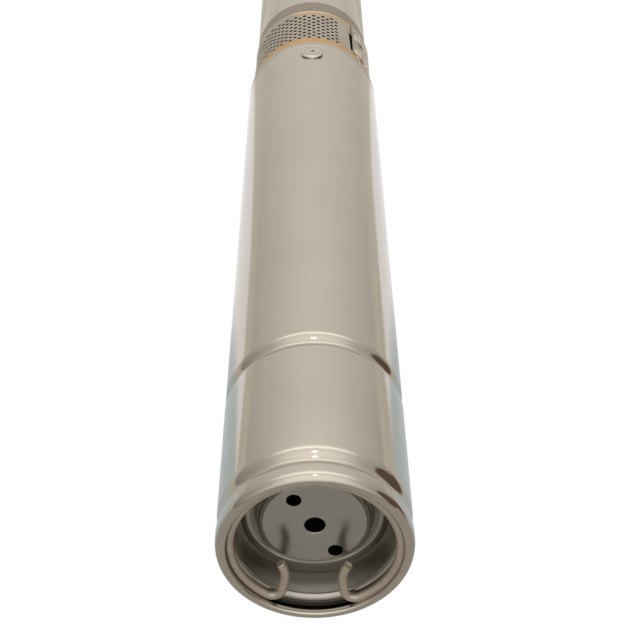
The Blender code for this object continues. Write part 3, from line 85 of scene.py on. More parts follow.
cabinet_brown = (0.14, 0.09, 0.07, 1.0)
floor_mesh = bpy.data.meshes.new("studio_floor")
shape = bmesh.new()
bmesh.ops.create_grid(shape, x_segments=1, y_segments=1, size=6.0)
shape.to_mesh(floor_mesh)
shape.free()
studio_floor = bpy.data.objects.new("studio_floor", floor_mesh)
bpy.context.scene.collection.objects.link(studio_floor)
studio_floor.location.z = -0.0002

floor_finish = bpy.data.materials.new("white_studio_sweep_painted_shade")
floor_finish.use_nodes = True
tree = floor_finish.node_tree
tree.nodes.clear()
place_on_floor = add(tree, "ShaderNodeTexCoord")
across = add(tree, "ShaderNodeSeparateXYZ", {0: place_on_floor.outputs["Object"]})
# The table's middle lies 35 mm to the left of the pump.
shifted = add(tree, "ShaderNodeMath", {0: across.outputs["X"], 1: 0.035}, operation="ADD")
aside = add(tree, "ShaderNodeMath", {0: shifted.outputs[0]}, operation="ABSOLUTE")
reach = add(tree, "ShaderNodeMath", {0: aside.outputs[0], 1: -0.2, 2: across.outputs["Y"]},
            operation="MULTIPLY_ADD")
# Painted shade on the table: blue-grey near the pump, pale further up it, and darker beyond its
# two sides and its end.
far = add(tree, "ShaderNodeMapRange", {"Value": reach.outputs[0], "From Min": lip_y + 0.16,
                                       "From Max": lip_y + 0.24}, interpolation_type="SMOOTHSTEP")
table = add(tree, "ShaderNodeMix", {0: far.outputs[0], 6: (0.54, 0.59, 0.61, 1.0),
                                    7: (0.90, 0.88, 0.89, 1.0)}, data_type="RGBA")
beside = add(tree, "ShaderNodeMapRange", {"Value": aside.outputs[0], "From Min": 0.215,
                                          "From Max": 0.230})
wide_table = add(tree, "ShaderNodeMix", {0: beside.outputs[0], 6: table.outputs[2],
                                         7: (0.60, 0.565, 0.49, 1.0)}, data_type="RGBA")
ending = add(tree, "ShaderNodeMapRange", {"Value": across.outputs["Y"], "From Min": lip_y + 0.50,
                                          "From Max": lip_y + 0.55})
around_table = add(tree, "ShaderNodeMix", {0: ending.outputs[0], 6: wide_table.outputs[2],
                                           7: (0.63, 0.595, 0.52, 1.0)}, data_type="RGBA")
# The cabinet takes a corner on the right, and painted shade dims the floor in front of the pump.
slant = add(tree, "ShaderNodeMath", {0: across.outputs["X"], 1: 0.9}, operation="MULTIPLY")
corner = add(tree, "ShaderNodeMath", {0: slant.outputs[0], 1: across.outputs["Y"]},
             operation="SUBTRACT")
cabinet = add(tree, "ShaderNodeMapRange", {"Value": corner.outputs[0], "From Min": 0.11 - lip_y,
                                           "From Max": 0.15 - lip_y})
with_cabinet = add(tree, "ShaderNodeMix", {0: cabinet.outputs[0], 6: around_table.outputs[2],
                                           7: cabinet_brown}, data_type="RGBA")
front = add(tree, "ShaderNodeMapRange", {"Value": across.outputs["Y"], "From Min": lip_y + 0.02,
                                         "From Max": lip_y + 0.05})
mirrored = add(tree, "ShaderNodeMix", {0: front.outputs[0], 6: (0.40, 0.375, 0.34, 1.0),
                                       7: with_cabinet.outputs[2]}, data_type="RGBA")
seen = add(tree, "ShaderNodeLightPath")
glow = add(tree, "ShaderNodeEmission", {"Color": mirrored.outputs[2]})
white = add(tree, "ShaderNodeEmission", {"Color": (1.0, 1.0, 1.0, 1.0)})
both = add(tree, "ShaderNodeMixShader", {0: seen.outputs["Is Camera Ray"], 1: glow.outputs[0],
                                         2: white.outputs[0]})
add(tree, "ShaderNodeOutputMaterial", {0: both.outputs[0]})
floor_mesh.materials.append(floor_finish)

world = bpy.data.worlds.new("studio_room")
bpy.context.scene.world = world
world.use_nodes = True
tree = world.node_tree
tree.nodes.clear()
direction = add(tree, "ShaderNodeTexCoord")
aim = add(tree, "ShaderNodeSeparateXYZ", {0: direction.outputs["Generated"]})
pitch = add(tree, "ShaderNodeMath", {0: aim.outputs["Z"], 1: aim.outputs["Y"]},
            operation="ARCTAN2")
turned = add(tree, "ShaderNodeMath", {0: pitch.outputs[0], 1: math.pi}, operation="DIVIDE")
# The ceiling by pitch, from straight ahead over the pump to straight behind. A ramp holds
# no colour over 1, so it has half of each, and dimming doubles them.
overhead = add(tree, "ShaderNodeValToRGB", {0: turned.outputs[0]})
ramp = overhead.color_ramp
ramp.interpolation = "B_SPLINE"
ramp.elements[0].position = 0.0
ramp.elements[0].color = (0.36, 0.34, 0.30, 1.0)
ramp.elements[1].position = 1.0
ramp.elements[1].color = (0.15, 0.145, 0.135, 1.0)
for degrees, grey in ((6, 0.37), (14, 0.395), (26, 0.40), (36, 0.425), (45, 0.43), (52, 0.80),
                      (60, 0.80), (68, 0.42), (86, 0.60), (120, 0.60), (150, 0.55), (166, 0.36)):
    stop = ramp.elements.new(degrees / 180)
    stop.color = (grey, 0.955 * grey, 0.89 * grey, 1.0)
sideways = add(tree, "ShaderNodeMath", {0: aim.outputs["X"], 1: aim.outputs["X"]},
               operation="MULTIPLY")
dimming = add(tree, "ShaderNodeMapRange", {"Value": sideways.outputs[0], "From Min": 0.0,
                                           "From Max": 1.0, "To Min": 2.0, "To Max": 0.76})
# The bright strip stops short of the two sides.
no_strip = add(tree, "ShaderNodeVectorMath", {0: overhead.outputs[0], 1: (0.44, 0.42, 0.39)},
               operation="MINIMUM")
strip_end = add(tree, "ShaderNodeMapRange", {"Value": sideways.outputs[0], "From Min": 0.2,
                                             "From Max": 0.5})
above = add(tree, "ShaderNodeMix", {0: strip_end.outputs[0], 6: overhead.outputs[0],
                                    7: no_strip.outputs[0]}, data_type="RGBA")
room = add(tree, "ShaderNodeVectorMath", {0: above.outputs[2], 1: dimming.outputs[0]},
           operation="MULTIPLY")
cabinet = add(tree, "ShaderNodeMapRange", {"Value": aim.outputs["X"], "From Min": 0.875,
                                           "From Max": 0.91}, interpolation_type="SMOOTHSTEP")
mirrored = add(tree, "ShaderNodeMix", {0: cabinet.outputs[0], 6: room.outputs[0],
                                       7: cabinet_brown}, data_type="RGBA")
seen = add(tree, "ShaderNodeLightPath")
glow = add(tree, "ShaderNodeBackground", {"Color": mirrored.outputs[2]})
white = add(tree, "ShaderNodeBackground", {"Color": (1.0, 1.0, 1.0, 1.0)})
both = add(tree, "ShaderNodeMixShader", {0: seen.outputs["Is Camera Ray"], 1: glow.outputs[0],
                                         2: white.outputs[0]})
add(tree, "ShaderNodeOutputWorld", {0: both.outputs[0]})

lamp_data = bpy.data.lights.new("overhead_lamp", "AREA")
lamp_data.shape = "DISK"
lamp_data.size = 0.06
lamp_data.energy = 0.35
lamp_data.color = (1.0, 0.97, 0.93)
lamp = bpy.data.objects.new("overhead_lamp", lamp_data)
bpy.context.scene.collection.objects.link(lamp)
lamp.location = (0.0, lip_y + 0.18, axis_height + 1.3)


# Motor casing: a thin drawn stainless tube. Two grooves are rolled into it, one
# over the lower bracket and one that the base cover sits against, and its open
# end is curled in to a rounded lip. Three screws fix its other end to the head.
def linear(colour):
    """An sRGB hex colour as linear red, green and blue."""
    values = [int(colour[i:i + 2], 16) / 255 for i in (1, 3, 5)]
    return tuple(v / 12.92 if v <= 0.04045 else ((v + 0.055) / 1.055) ** 2.4 for v in values)


def metal(name, dark, light, rough, grain, depth, blotch=30.0, stain=0.5):
    """A worked metal, its grain in marks to the metre along X, Y and Z.

    Real marks lie under 0.1 mm apart. They would not show, so most are drawn about 1 mm apart.
    """
    finish = bpy.data.materials.new(name)
    finish.use_nodes = True
    tree = finish.node_tree
    shader = tree.nodes["Principled BSDF"]
    shader.inputs["Metallic"].default_value = 1.0
    where = add(tree, "ShaderNodeTexCoord")
    stretch = add(tree, "ShaderNodeMapping", {0: where.outputs["Object"], 3: grain})
    marks = add(tree, "ShaderNodeTexNoise", {"Vector": stretch.outputs[0], "Scale": 1.0,
                                             "Detail": 4.0, "Roughness": 0.6})
    cloud = add(tree, "ShaderNodeTexNoise", {"Vector": where.outputs["Object"], "Scale": blotch,
                                             "Detail": 3.0, "Roughness": 0.55})
    share = add(tree, "ShaderNodeMix", {0: stain, 2: marks.outputs[0], 3: cloud.outputs[0]})
    spread = add(tree, "ShaderNodeMapRange", {"Value": share.outputs[0], "From Min": 0.35,
                                              "From Max": 0.65}, clamp=True)
    colour = add(tree, "ShaderNodeMix", {0: spread.outputs[0], 6: (*linear(dark), 1.0),
                                         7: (*linear(light), 1.0)}, data_type="RGBA")
    gloss = add(tree, "ShaderNodeMapRange", {"Value": share.outputs[0], "From Min": 0.3,
                                             "From Max": 0.7, "To Min": rough[1],
                                             "To Max": rough[0]}, clamp=True)
    relief = add(tree, "ShaderNodeBump", {"Strength": 0.5, "Distance": depth,
                                          "Height": marks.outputs[0]})
    tree.links.new(colour.outputs[2], shader.inputs["Base Color"])
    tree.links.new(gloss.outputs[0], shader.inputs["Roughness"])
    tree.links.new(relief.outputs[0], shader.inputs["Normal"])
    return finish


def place(name, shape, *finishes):
    """A piece from a bmesh drawn in the pump's own frame."""
    bmesh.ops.transform(shape, verts=shape.verts, matrix=pump_frame)
    bmesh.ops.recalc_face_normals(shape, faces=shape.faces)
    mesh = bpy.data.meshes.new(name)
    shape.to_mesh(mesh)
    shape.free()
    piece = bpy.data.objects.new(name, mesh)
    bpy.context.scene.collection.objects.link(piece)
    for finish in finishes:
        mesh.materials.append(finish)
    mesh.shade_smooth()
    mesh.set_sharp_from_angle(angle=math.radians(32))
    return piece


def lathe(shape, profile, steps=144, closed=True, slot=0):
    """Turns a profile of (radius, z) points, in millimetres, about the shaft."""
    ring = [shape.verts.new((r / 1000, 0.0, z / 1000)) for r, z in profile]
    edges = [shape.edges.new(pair) for pair in zip(ring, ring[1:])]
    if closed:
        edges.append(shape.edges.new((ring[-1], ring[0])))
    made = set(shape.faces)
    bmesh.ops.spin(shape, geom=ring + edges, cent=(0, 0, 0), axis=(0, 0, 1), dvec=(0, 0, 0),
                   angle=2 * math.pi, steps=steps, use_merge=True, use_duplicate=False)
    on_axis = [v for v in shape.verts if abs(v.co.x) < 1e-7 and abs(v.co.y) < 1e-7]
    bmesh.ops.remove_doubles(shape, verts=on_axis, dist=1e-6)
    for face in set(shape.faces) - made:
        face.material_index = slot


def arc(centre_r, centre_z, radius, start, end, count):
    """Points of a round corner, with its angles in degrees from the +r side."""
    return [(centre_r + radius * math.cos(math.radians(start + (end - start) * i / count)),
             centre_z + radius * math.sin(math.radians(start + (end - start) * i / count)))
            for i in range(count + 1)]


# Drawn and polished lengthwise: a satin mirror with faint lines along the tube.
drawn_steel = metal("drawn_stainless_tube_satin", "#cac4b9", "#d0cac0", (0.07, 0.11),
                    (900.0, 12.0, 900.0), 0.000001)
tube_radius = casing_radius * 1000
tube_length = (casing_high[1] - casing_low[1]) * 1000
groove_feet = (78.9, 6.9)
groove_width = 11.8
groove_depth = 1.75
groove_steps = 24
tube_wall = 1.5
lip_steps = 24
lip_start = 4.7
lip_inward = 0.275
lip_outward = 0.251
outside = [(tube_radius - 0.25, tube_length), (tube_radius, tube_length - 0.3)]
inside = []
for foot in groove_feet:
    for i in range(groove_steps + 1):
        share = i / groove_steps
        eased = share ** 0.72
        z = foot + groove_width * (1 - eased)
        dip = groove_depth * (0.5 - 0.5 * math.cos(2 * math.pi * share))
        outside.append((tube_radius - dip, z))
        inside.append((tube_radius - tube_wall - dip, z))
inside.reverse()
lip = []
r, z = tube_radius, lip_start
for i in range(lip_steps):
    lean = math.pi / 2 * ((i + 0.5) / lip_steps) ** 2
    r -= lip_inward * math.sin(lean)
    z -= lip_outward * math.cos(lean)
    lip.append((r, z))
lip += arc(35.0, 1.2, 1.2, -90, -180, 6) + [(33.8, 2.1)] + arc(34.1, 2.1, 0.3, 180, 90, 3)
lip += [(tube_radius - tube_wall - 0.5, 2.7), (tube_radius - tube_wall, 3.3)]
shape = bmesh.new()
lathe(shape, outside + lip + inside + [(tube_radius - tube_wall, tube_length)], 192)
motor_tube = place("motor_tube", shape, drawn_steel)
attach(motor_tube, "pump_body")
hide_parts("motor_casing")


# Base cover: one pressing of stainless sheet. Its flange lies against the
# casing's inner wall and a raised boss in its cup is pierced by three holes
# that let well water reach the rubber diaphragm behind it.
def moulded(name, dark, light, rough, grain, depth):
    """A moulded rubber, plastic, ceramic or carbon, with its surface grain."""
    finish = bpy.data.materials.new(name)
    finish.use_nodes = True
    tree = finish.node_tree
    shader = tree.nodes["Principled BSDF"]
    where = add(tree, "ShaderNodeTexCoord")
    grit = add(tree, "ShaderNodeTexNoise", {"Vector": where.outputs["Object"], "Scale": grain,
                                            "Detail": 5.0, "Roughness": 0.6})
    cloud = add(tree, "ShaderNodeTexNoise", {"Vector": where.outputs["Object"],
                                             "Scale": grain / 12, "Detail": 2.0})
    spread = add(tree, "ShaderNodeMapRange", {"Value": cloud.outputs[0], "From Min": 0.35,
                                              "From Max": 0.65}, clamp=True)
    colour = add(tree, "ShaderNodeMix", {0: spread.outputs[0], 6: (*linear(dark), 1.0),
                                         7: (*linear(light), 1.0)}, data_type="RGBA")
    gloss = add(tree, "ShaderNodeMapRange", {"Value": grit.outputs[0], "From Min": 0.3,
                                             "From Max": 0.7, "To Min": rough[0],
                                             "To Max": rough[1]}, clamp=True)
    relief = add(tree, "ShaderNodeBump", {"Strength": 0.4, "Distance": depth,
                                          "Height": grit.outputs[0]})
    tree.links.new(colour.outputs[2], shader.inputs["Base Color"])
    tree.links.new(gloss.outputs[0], shader.inputs["Roughness"])
    tree.links.new(relief.outputs[0], shader.inputs["Normal"])
    return finish


# Sheet left as rolled: smooth and greyer, with a soft, cloudy shine.
pressed_steel = metal("pressed_stainless_cover", "#b1afa9", "#b8b6b0", (0.20, 0.27),
                      (350.0, 350.0, 350.0), 0.000001, 60.0, 0.7)
# Moulded rubber: nearly black and dull.
nitrile = moulded("moulded_nitrile_rubber", "#141414", "#202020", (0.55, 0.75), 900.0, 0.00004)
front_face = ([(34.6, 6.05), (33.6, 6.05)] + arc(33.4, 8.85, 2.8, -90, -172, 9)
              + [(30.2, 11.5), (28.8, 16.0)] + arc(25.7, 19.4, 2.6, 0, 70, 6)
              + [(25.5, 22.0), (24.7, 22.0)] + arc(24.3, 20.6, 1.4, 80, 170, 6)
              + [(22.4, 17.6)] + arc(19.4, 17.3, 2.9, 0, -88, 9)
              + [(17.8, 14.38), (12.0, 14.36), (4.6, 14.44), (4.25, 14.54), (4.05, 14.74)])
back_face = [(4.05, 15.6), (19.2, 15.6), (20.3, 16.3), (21.1, 18.4), (21.7, 21.6), (23.6, 23.0),
             (27.0, 22.9), (29.4, 20.6), (30.1, 16.2), (31.5, 11.5), (32.6, 7.5), (34.6, 7.25)]
shape = bmesh.new()
lathe(shape, front_face + back_face, 128)
# A black ring in the rubber's finish runs round the flange's edge and makes the gap up to the
# casing's lip black.
black_flange_bead = ([(34.3, 7.2), (34.3, 6.0)] + arc(35.0, 6.0, 0.7, 180, 300, 7)
               + [(35.9, 5.9), (35.9, 7.2)])
lathe(shape, black_flange_bead, 96, slot=1)
base_pressing = place("base_pressing", shape, pressed_steel, nitrile)


def cut_out(piece, shape):
    """Cuts a shape that is already in the world out of a piece."""
    mesh = bpy.data.meshes.new("cutter")
    shape.to_mesh(mesh)
    shape.free()
    cutter = bpy.data.objects.new("cutter", mesh)
    bpy.context.scene.collection.objects.link(cutter)
    change = piece.modifiers.new("cut", "BOOLEAN")
    change.operation = "DIFFERENCE"
    change.object = cutter
    change.solver = "EXACT"
    bpy.context.view_layer.update()
    cut = bpy.data.meshes.new_from_object(piece.evaluated_get(
        bpy.context.evaluated_depsgraph_get()))
    piece.modifiers.clear()
    whole = piece.data
    piece.data = cut
    bpy.data.meshes.remove(whole)
    bpy.data.objects.remove(cutter, do_unlink=True)


water_hole = 0.0030
for angle in (-31, 149):
    turn = math.radians(angle) - math.pi / 2
    spot = Matrix.Translation((0.0156 * math.cos(turn), 0.0156 * math.sin(turn), 0.014))
    drill = bmesh.new()
    bmesh.ops.create_cone(drill, cap_ends=True, segments=40, radius1=water_hole,
                          radius2=water_hole, depth=0.006, matrix=pump_frame @ spot)
    cut_out(base_pressing, drill)
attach(base_pressing, "pump_body")
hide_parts("base_cover")


# Retaining ring: a bend of dull spring wire that snaps in behind the lip. Both
# its ends turn in from the ring and curl outward, so that a tool can draw it.
def tube_along(shape, points, radius, sides=16, cap_edge=0.0003):
    """A round wire along a line of points, its ends closed and slightly rounded."""
    rings = []
    last = len(points) - 1
    up = Vector((0.0, 0.0, 1.0))
    for i, point in enumerate(points):
        ahead = points[min(i + 1, last)] - points[max(i - 1, 0)]
        side = ahead.cross(up).normalized()
        over = side.cross(ahead).normalized()
        rings.append([point + radius * (math.cos(2 * math.pi * k / sides) * side
                                        + math.sin(2 * math.pi * k / sides) * over)
                      for k in range(sides)])
    for end, inward in ((0, 1), (last, -1)):
        back = (points[end + inward] - points[end]).normalized() * cap_edge
        flat = [points[end] + (spot - points[end]) * (1 - cap_edge / radius)
                for spot in rings[end]]
        rings[end] = [spot + back for spot in rings[end]]
        rings.insert(0 if end == 0 else len(rings), flat)
        last = len(rings) - 1
        points = ([points[0]] + points) if end == 0 else (points + [points[-1]])
    verts = [[shape.verts.new(spot) for spot in ring] for ring in rings]
    for near, far in zip(verts, verts[1:]):
        for k in range(sides):
            shape.faces.new((near[k], near[(k + 1) % sides], far[(k + 1) % sides], far[k]))
    shape.faces.new(verts[0])
    shape.faces.new(verts[-1])


# Spring wire left as drawn: pale and dull, without a mirror.
wire_steel = metal("bent_spring_wire_dull", "#c6bcae", "#d6ccbe", (0.45, 0.60),
                   (700.0, 700.0, 700.0), 0.000005, 80.0)
ring_low, ring_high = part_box("retaining_ring")
wire_z = (ring_high[1] + ring_low[1]) / 2 - lip_y
wire_radius = 0.0018
ring_radius = 0.0326
mouth = math.radians(34.0)
half = [Vector((ring_radius * math.sin(math.pi - (math.pi - mouth) * i / 60),
                ring_radius * math.cos(math.pi - (math.pi - mouth) * i / 60))) for i in range(61)]
# Each end turns in from the ring, runs straight and curls: its turn, its radius or
# length, and its steps.
heading = Vector((-math.cos(mouth), math.sin(mouth)))
spot = half[-1].copy()
for turn_total, radius, count in ((math.radians(90 - 8) + mouth, 0.0040, 16),
                                  (0.0, 0.0057, 5), (math.radians(40), 0.013, 10)):
    for _ in range(count):
        turn = turn_total / count
        step = radius * turn if turn else radius / count
        heading = Matrix.Rotation(turn / 2, 2) @ heading
        spot = spot + heading * step
        heading = Matrix.Rotation(turn / 2, 2) @ heading
        half.append(spot.copy())
right_half = [Vector((p.x, p.y, wire_z - 0.0012 * max(0.0, p.x) / 0.033)) for p in half]
left_half = [Vector((-p.x, p.y, wire_z)) for p in reversed(half)]
shape = bmesh.new()
tube_along(shape, left_half + right_half[1:], wire_radius, 20)
bmesh.ops.rotate(shape, verts=shape.verts, cent=(0, 0, 0),
                 matrix=Matrix.Rotation(math.radians(1.5), 3, "Z"))
hooked_ring = place("hooked_ring", shape, wire_steel)
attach(hooked_ring, "pump_body")
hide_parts("retaining_ring")


# Motor head: a turned stainless casting. Only its rim shows, as a bright band
# between the casing's end and the brass suction casting.

# Fresh from the lathe: bright, with rings too fine to tell apart.
turned_steel = metal("turned_stainless_ring", "#b9b7af", "#c6c4bd", (0.16, 0.24),
                     (60.0, 2500.0, 60.0), 0.000005)
head_top = (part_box("motor_head")[1][1] - lip_y) * 1000
head_foot = tube_length - 48.6
bearing_end = tube_length - 32.3
shape = bmesh.new()
lathe(shape, [(tube_radius - 0.35, head_top), (tube_radius, head_top - 0.35),
              (tube_radius, tube_length + 0.8), (tube_radius - 0.35, tube_length + 0.5),
              (35.9, tube_length + 0.5), (35.9, head_foot), (17.8, head_foot),
              (17.8, bearing_end), (8.4, bearing_end), (8.4, head_top - 5.3),
              (12.8, head_top - 5.3), (12.8, head_top)])
head_casting = place("head_casting", shape, turned_steel)
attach(head_casting, "pump_body")
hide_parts("motor_head")


# Casing screws: stainless pan heads with a cross recess, one on top and one to
# each side below, screwed through the casing into the motor head.
def pan_screw(name, node, angle, seat, z):
    """A pan-head screw standing out from the shaft at a clock angle."""
    turn = math.radians(angle) - math.pi / 2
    stand = (Matrix.Translation((0, 0, z / 1000)) @ Matrix.Rotation(turn, 4, "Z")
             @ Matrix.Rotation(math.pi / 2, 4, "Y") @ Matrix.Translation((0, 0, seat / 1000)))
    shape = bmesh.new()
    lathe(shape, [(0.0, 1.9), (1.2, 1.93), (2.6, 1.95), (4.4, 1.95), (4.6, 1.85), (4.7, 1.45),
                  (4.95, 1.42), (5.9, 1.1), (6.4, 0.7), (6.6, 0.3), (6.55, 0.0),
                  (2.3, 0.0), (2.3, -7.0), (1.6, -8.0), (0.0, -8.0)], 48, closed=False)
    bmesh.ops.transform(shape, verts=shape.verts, matrix=stand)
    screw = place(name, shape, screw_steel)
    for quarter in (0.0, math.pi / 2):
        arm = bmesh.new()
        bmesh.ops.create_cube(arm, size=1.0)
        bmesh.ops.scale(arm, verts=arm.verts, vec=(0.0052, 0.0011, 0.0030))
        for vert in arm.verts:
            if vert.co.z < 0:
                vert.co.x *= 0.35
                vert.co.y *= 0.6
        set_in = (pump_frame @ stand @ Matrix.Rotation(quarter + 0.5, 4, "Z")
                  @ Matrix.Translation((0, 0, 0.0021)))
        bmesh.ops.transform(arm, verts=arm.verts, matrix=set_in)
        cut_out(screw, arm)
    screw.data.set_sharp_from_angle(angle=math.radians(40))
    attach(screw, "pump_body")
    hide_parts(node)


# Cold-headed and tumbled: smooth and bright.
screw_steel = metal("headed_stainless_screw", "#c6beb1", "#dad3c8", (0.12, 0.20),
                    (400.0, 400.0, 400.0), 0.000002, 200.0)
for number, angle in enumerate((0, 120, 240)):
    pan_screw("pan_screw_%d" % (number + 1), "casing_screw_%d" % (number + 1), angle,
              tube_radius + 0.02, tube_length - 11.9)


# Suction casting: brass, turned on its two rims. Ribs join the rims, and water
# comes in between them. The cable cover is screwed to the widest rib.

# Turned brass: yellow, with fine rings and a soft shine.
cast_brass = metal("turned_cast_brass", "#cea672", "#deb784", (0.34, 0.46),
                   (80.0, 1800.0, 80.0), 0.000005, 120.0)
# The same brass left as cast behind the screen: rough, and painted dark brown for the shade it
# lies in there.
shaded_cast_brass = metal("sand_cast_brass_painted_shade", "#2c2319", "#3a2e20", (0.55, 0.7),
                   (600.0, 600.0, 600.0), 0.00003, 90.0)
screen_low, screen_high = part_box("strainer_screen")
foot_z = (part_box("inlet_casting")[0][1] - lip_y) * 1000
sheet_z = (screen_low[1] - lip_y) * 1000 + 3.1
sheet_top = (screen_high[1] - lip_y) * 1000
crown_z = sheet_top + 0.3
crown_top = crown_z + 5.0
shape = bmesh.new()
lathe(shape, [(36.4, sheet_z - 0.2), (36.7, sheet_z - 0.5), (36.7, foot_z + 0.3), (36.4, foot_z),
              (23.5, foot_z), (23.5, sheet_z - 0.2)])
lathe(shape, [(32.9, crown_top + 14.0), (32.9, crown_top), (35.2, crown_top),
              (35.42, crown_top - 0.25), (35.42, crown_z + 0.25), (35.2, crown_z),
              (23.5, crown_z), (23.5, crown_top), (28.9, crown_top + 14.0)])
# The brass inside the screen takes the dark finish: painted shade.
for face in shape.faces:
    if math.hypot(*face.calc_center_median().xy) < 0.0335:
        face.material_index = 1
# The first rib is the wide seat of the cable cover.
for number in range(4):
    start, end, reach = (-15.2, 22.6, 35.5) if number == 0 else (-4.5, 4.5, 34.0)
    turn = math.radians(59 + 90 * number) - math.pi / 2
    rib = bmesh.new()
    plan = [(reach, start + (end - start) * i / 12) for i in range(13)]
    plan += [(25.0, end - (end - start) * i / 12) for i in range(13)]
    base = rib.faces.new([rib.verts.new((r / 1000 * math.cos(math.radians(a)),
                                         r / 1000 * math.sin(math.radians(a)),
                                         (sheet_z - 1) / 1000)) for r, a in plan])
    grown = bmesh.ops.extrude_face_region(rib, geom=[base], use_keep_orig=True)
    moved = [item for item in grown["geom"] if isinstance(item, bmesh.types.BMVert)]
    bmesh.ops.translate(rib, verts=moved, vec=(0, 0, (crown_z - sheet_z + 2) / 1000))
    bmesh.ops.rotate(rib, verts=rib.verts, cent=(0, 0, 0), matrix=Matrix.Rotation(turn, 3, "Z"))
    # Rib faces inside the screen take the dark finish too: painted shade.
    for face in rib.faces:
        face.material_index = 0 if math.hypot(*face.calc_center_median().xy) > 0.035 else 1
    mesh = bpy.data.meshes.new("rib")
    rib.to_mesh(mesh)
    rib.free()
    shape.from_mesh(mesh)
    bpy.data.meshes.remove(mesh)
suction_casting = place("suction_casting", shape, cast_brass, shaded_cast_brass)
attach(suction_casting, "pump_body")
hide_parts("inlet_casting")


# Strainer: stainless sheet punched with round holes in staggered columns and
# wrapped round the suction casting, narrowing a little from its lower rim. Near
# the cable cover it has a plain margin and bares the upper brass rim.
lower_radius = 36.6
upper_radius = 35.5


def screen_radius(z):
    """Outer radius at a height, both in millimetres."""
    share = max(0.0, min(1.0, (z - sheet_z) / 28.0))
    flare = 0.03 * max(0.0, z - sheet_top)
    return lower_radius + (upper_radius - lower_radius) * (share * (1.25 - 0.25 * share)) + flare


def wrapped(angle, z):
    """A point on the screen, from a clock angle in degrees and a height."""
    radius = screen_radius(z) / 1000
    turn = math.radians(angle) - math.pi / 2
    return Vector((radius * math.cos(turn), radius * math.sin(turn), z / 1000))


def thickened(shape, sheet):
    """Gives an open sheet a thickness towards the shaft, and closes its edges."""
    outer_faces = list(shape.faces)
    rim = [edge for edge in shape.edges if edge.is_boundary]
    inner = {}
    for vert in list(shape.verts):
        keep = 1 - sheet / math.hypot(vert.co.x, vert.co.y)
        inner[vert] = shape.verts.new((vert.co.x * keep, vert.co.y * keep, vert.co.z))
    for face in outer_faces:
        shape.faces.new([inner[vert] for vert in reversed(face.verts)])
    for edge in rim:
        near, far = edge.verts
        shape.faces.new((near, far, inner[far], inner[near]))


# Punched sheet: a little darker and duller than the tube.
screen_steel = metal("punched_stainless_screen", "#b3aa9b", "#c5bdb0", (0.24, 0.34),
                     (500.0, 500.0, 500.0), 0.000002, 90.0)
hole_pitch = 5.3
column_angle = 4.6
hole_radius = 1.22
first_hole = sheet_z + 1.6
rows = 7
columns = 61
holes_end = 27.2
sheet_end = -277.4
slot_start = 40.2
slot_end = 43.0
plate_low = crown_top - 39.8
shape = bmesh.new()
corners = {}


def at(angle, z):
    """One shared corner of the screen's sheet."""
    key = (round(angle, 3), round(z, 3))
    if key not in corners:
        corners[key] = shape.verts.new(wrapped(angle, z))
    return corners[key]


for column in range(columns):
    lift = column % 2 * hole_pitch / 2
    right = holes_end - column * column_angle
    left = right - column_angle
    for row in range(rows):
        centre = first_hole + lift + row * hole_pitch
        low = max(sheet_z, centre - hole_pitch / 2)
        high = centre + hole_pitch / 2
        rim = []
        for k in range(12):
            a = 2 * math.pi * k / 12
            wide = math.degrees(hole_radius * math.cos(a) / screen_radius(centre))
            spot = wrapped((left + right) / 2 + wide, centre + hole_radius * math.sin(a))
            rim.append(shape.verts.new(spot))
        cell = [at(right, centre), at(right, high), at(left, high), at(left, centre),
                at(left, low), at(right, low)]
        for side in range(6):
            k = 2 * side
            shape.faces.new((cell[side], cell[(side + 1) % 6], rim[(k + 2) % 12],
                             rim[(k + 1) % 12], rim[k]))
    if lift:
        shape.faces.new((at(left, sheet_z), at(right, sheet_z), at(right, first_hole),
                         at(left, first_hole)))
    last_hole = first_hole + (rows - 0.5) * hole_pitch
    plain = [last_hole, last_hole + hole_pitch / 2, sheet_top]
    if right < -18:
        plain.append(crown_top - 0.1)
    for low, high in list(zip(plain, plain[1:]))[1 if lift else 0:]:
        shape.faces.new((at(left, low), at(right, low), at(right, high), at(left, high)))
for start, end, steps in ((holes_end, slot_start, 4),
                          (holes_end - columns * column_angle, sheet_end, 1)):
    levels = sorted({key[1] for key in corners if key[0] == round(start, 3)})
    for step in range(steps):
        a = start + (end - start) * step / steps
        b = start + (end - start) * (step + 1) / steps
        for low, high in zip(levels, levels[1:]):
            shape.faces.new((at(a, low), at(b, low), at(b, high), at(a, high)))
for low, high in ((sheet_z, plate_low - 0.2), (plate_low + 26.0, sheet_top)):
    shape.faces.new([shape.verts.new(wrapped(a, z)) for a, z in
                     ((slot_start, low), (slot_end, low), (slot_end, high),
                      (slot_start, high))])
thickened(shape, 0.0008)
strainer = place("strainer", shape, screen_steel)
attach(strainer, "pump_body")
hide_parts("strainer_screen")


# Cable cover: a plain stainless plate, rolled round the shaft and held to its
# brass seat by two screws. It runs straight from the shell down to just above
# the lower brass rim; the slot beside it is where a cable would come out.
shape = bmesh.new()
plate_high = crown_top + 0.3
plate_start = 43.4
plate_width = 38.4
plate_radius = 0.0363
grid = []
for i in range(13):
    z = (plate_low + (plate_high - plate_low) * i / 12) / 1000
    turns = [math.radians(plate_start + plate_width * k / 18) - math.pi / 2 for k in range(19)]
    grid.append([shape.verts.new((plate_radius * math.cos(turn), plate_radius * math.sin(turn), z))
                 for turn in turns])
for low, high in zip(grid, grid[1:]):
    for i in range(18):
        shape.faces.new((low[i], low[i + 1], high[i + 1], high[i]))
thickened(shape, 0.0007)
square = [edge for edge in shape.edges if edge.calc_face_angle(0) > 1.0]
bmesh.ops.bevel(shape, geom=square, offset=0.0002, segments=2, profile=0.5, affect="EDGES",
                material=-1)
cover_plate = place("cover_plate", shape, screen_steel)
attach(cover_plate, "pump_body")
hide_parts("cable_cover")
for number, height in enumerate((4.9, 26.8)):
    pan_screw("plate_screw_%d" % (number + 1), "cover_screw_%d" % (number + 1), 56.5, upper_radius,
              plate_low + height)
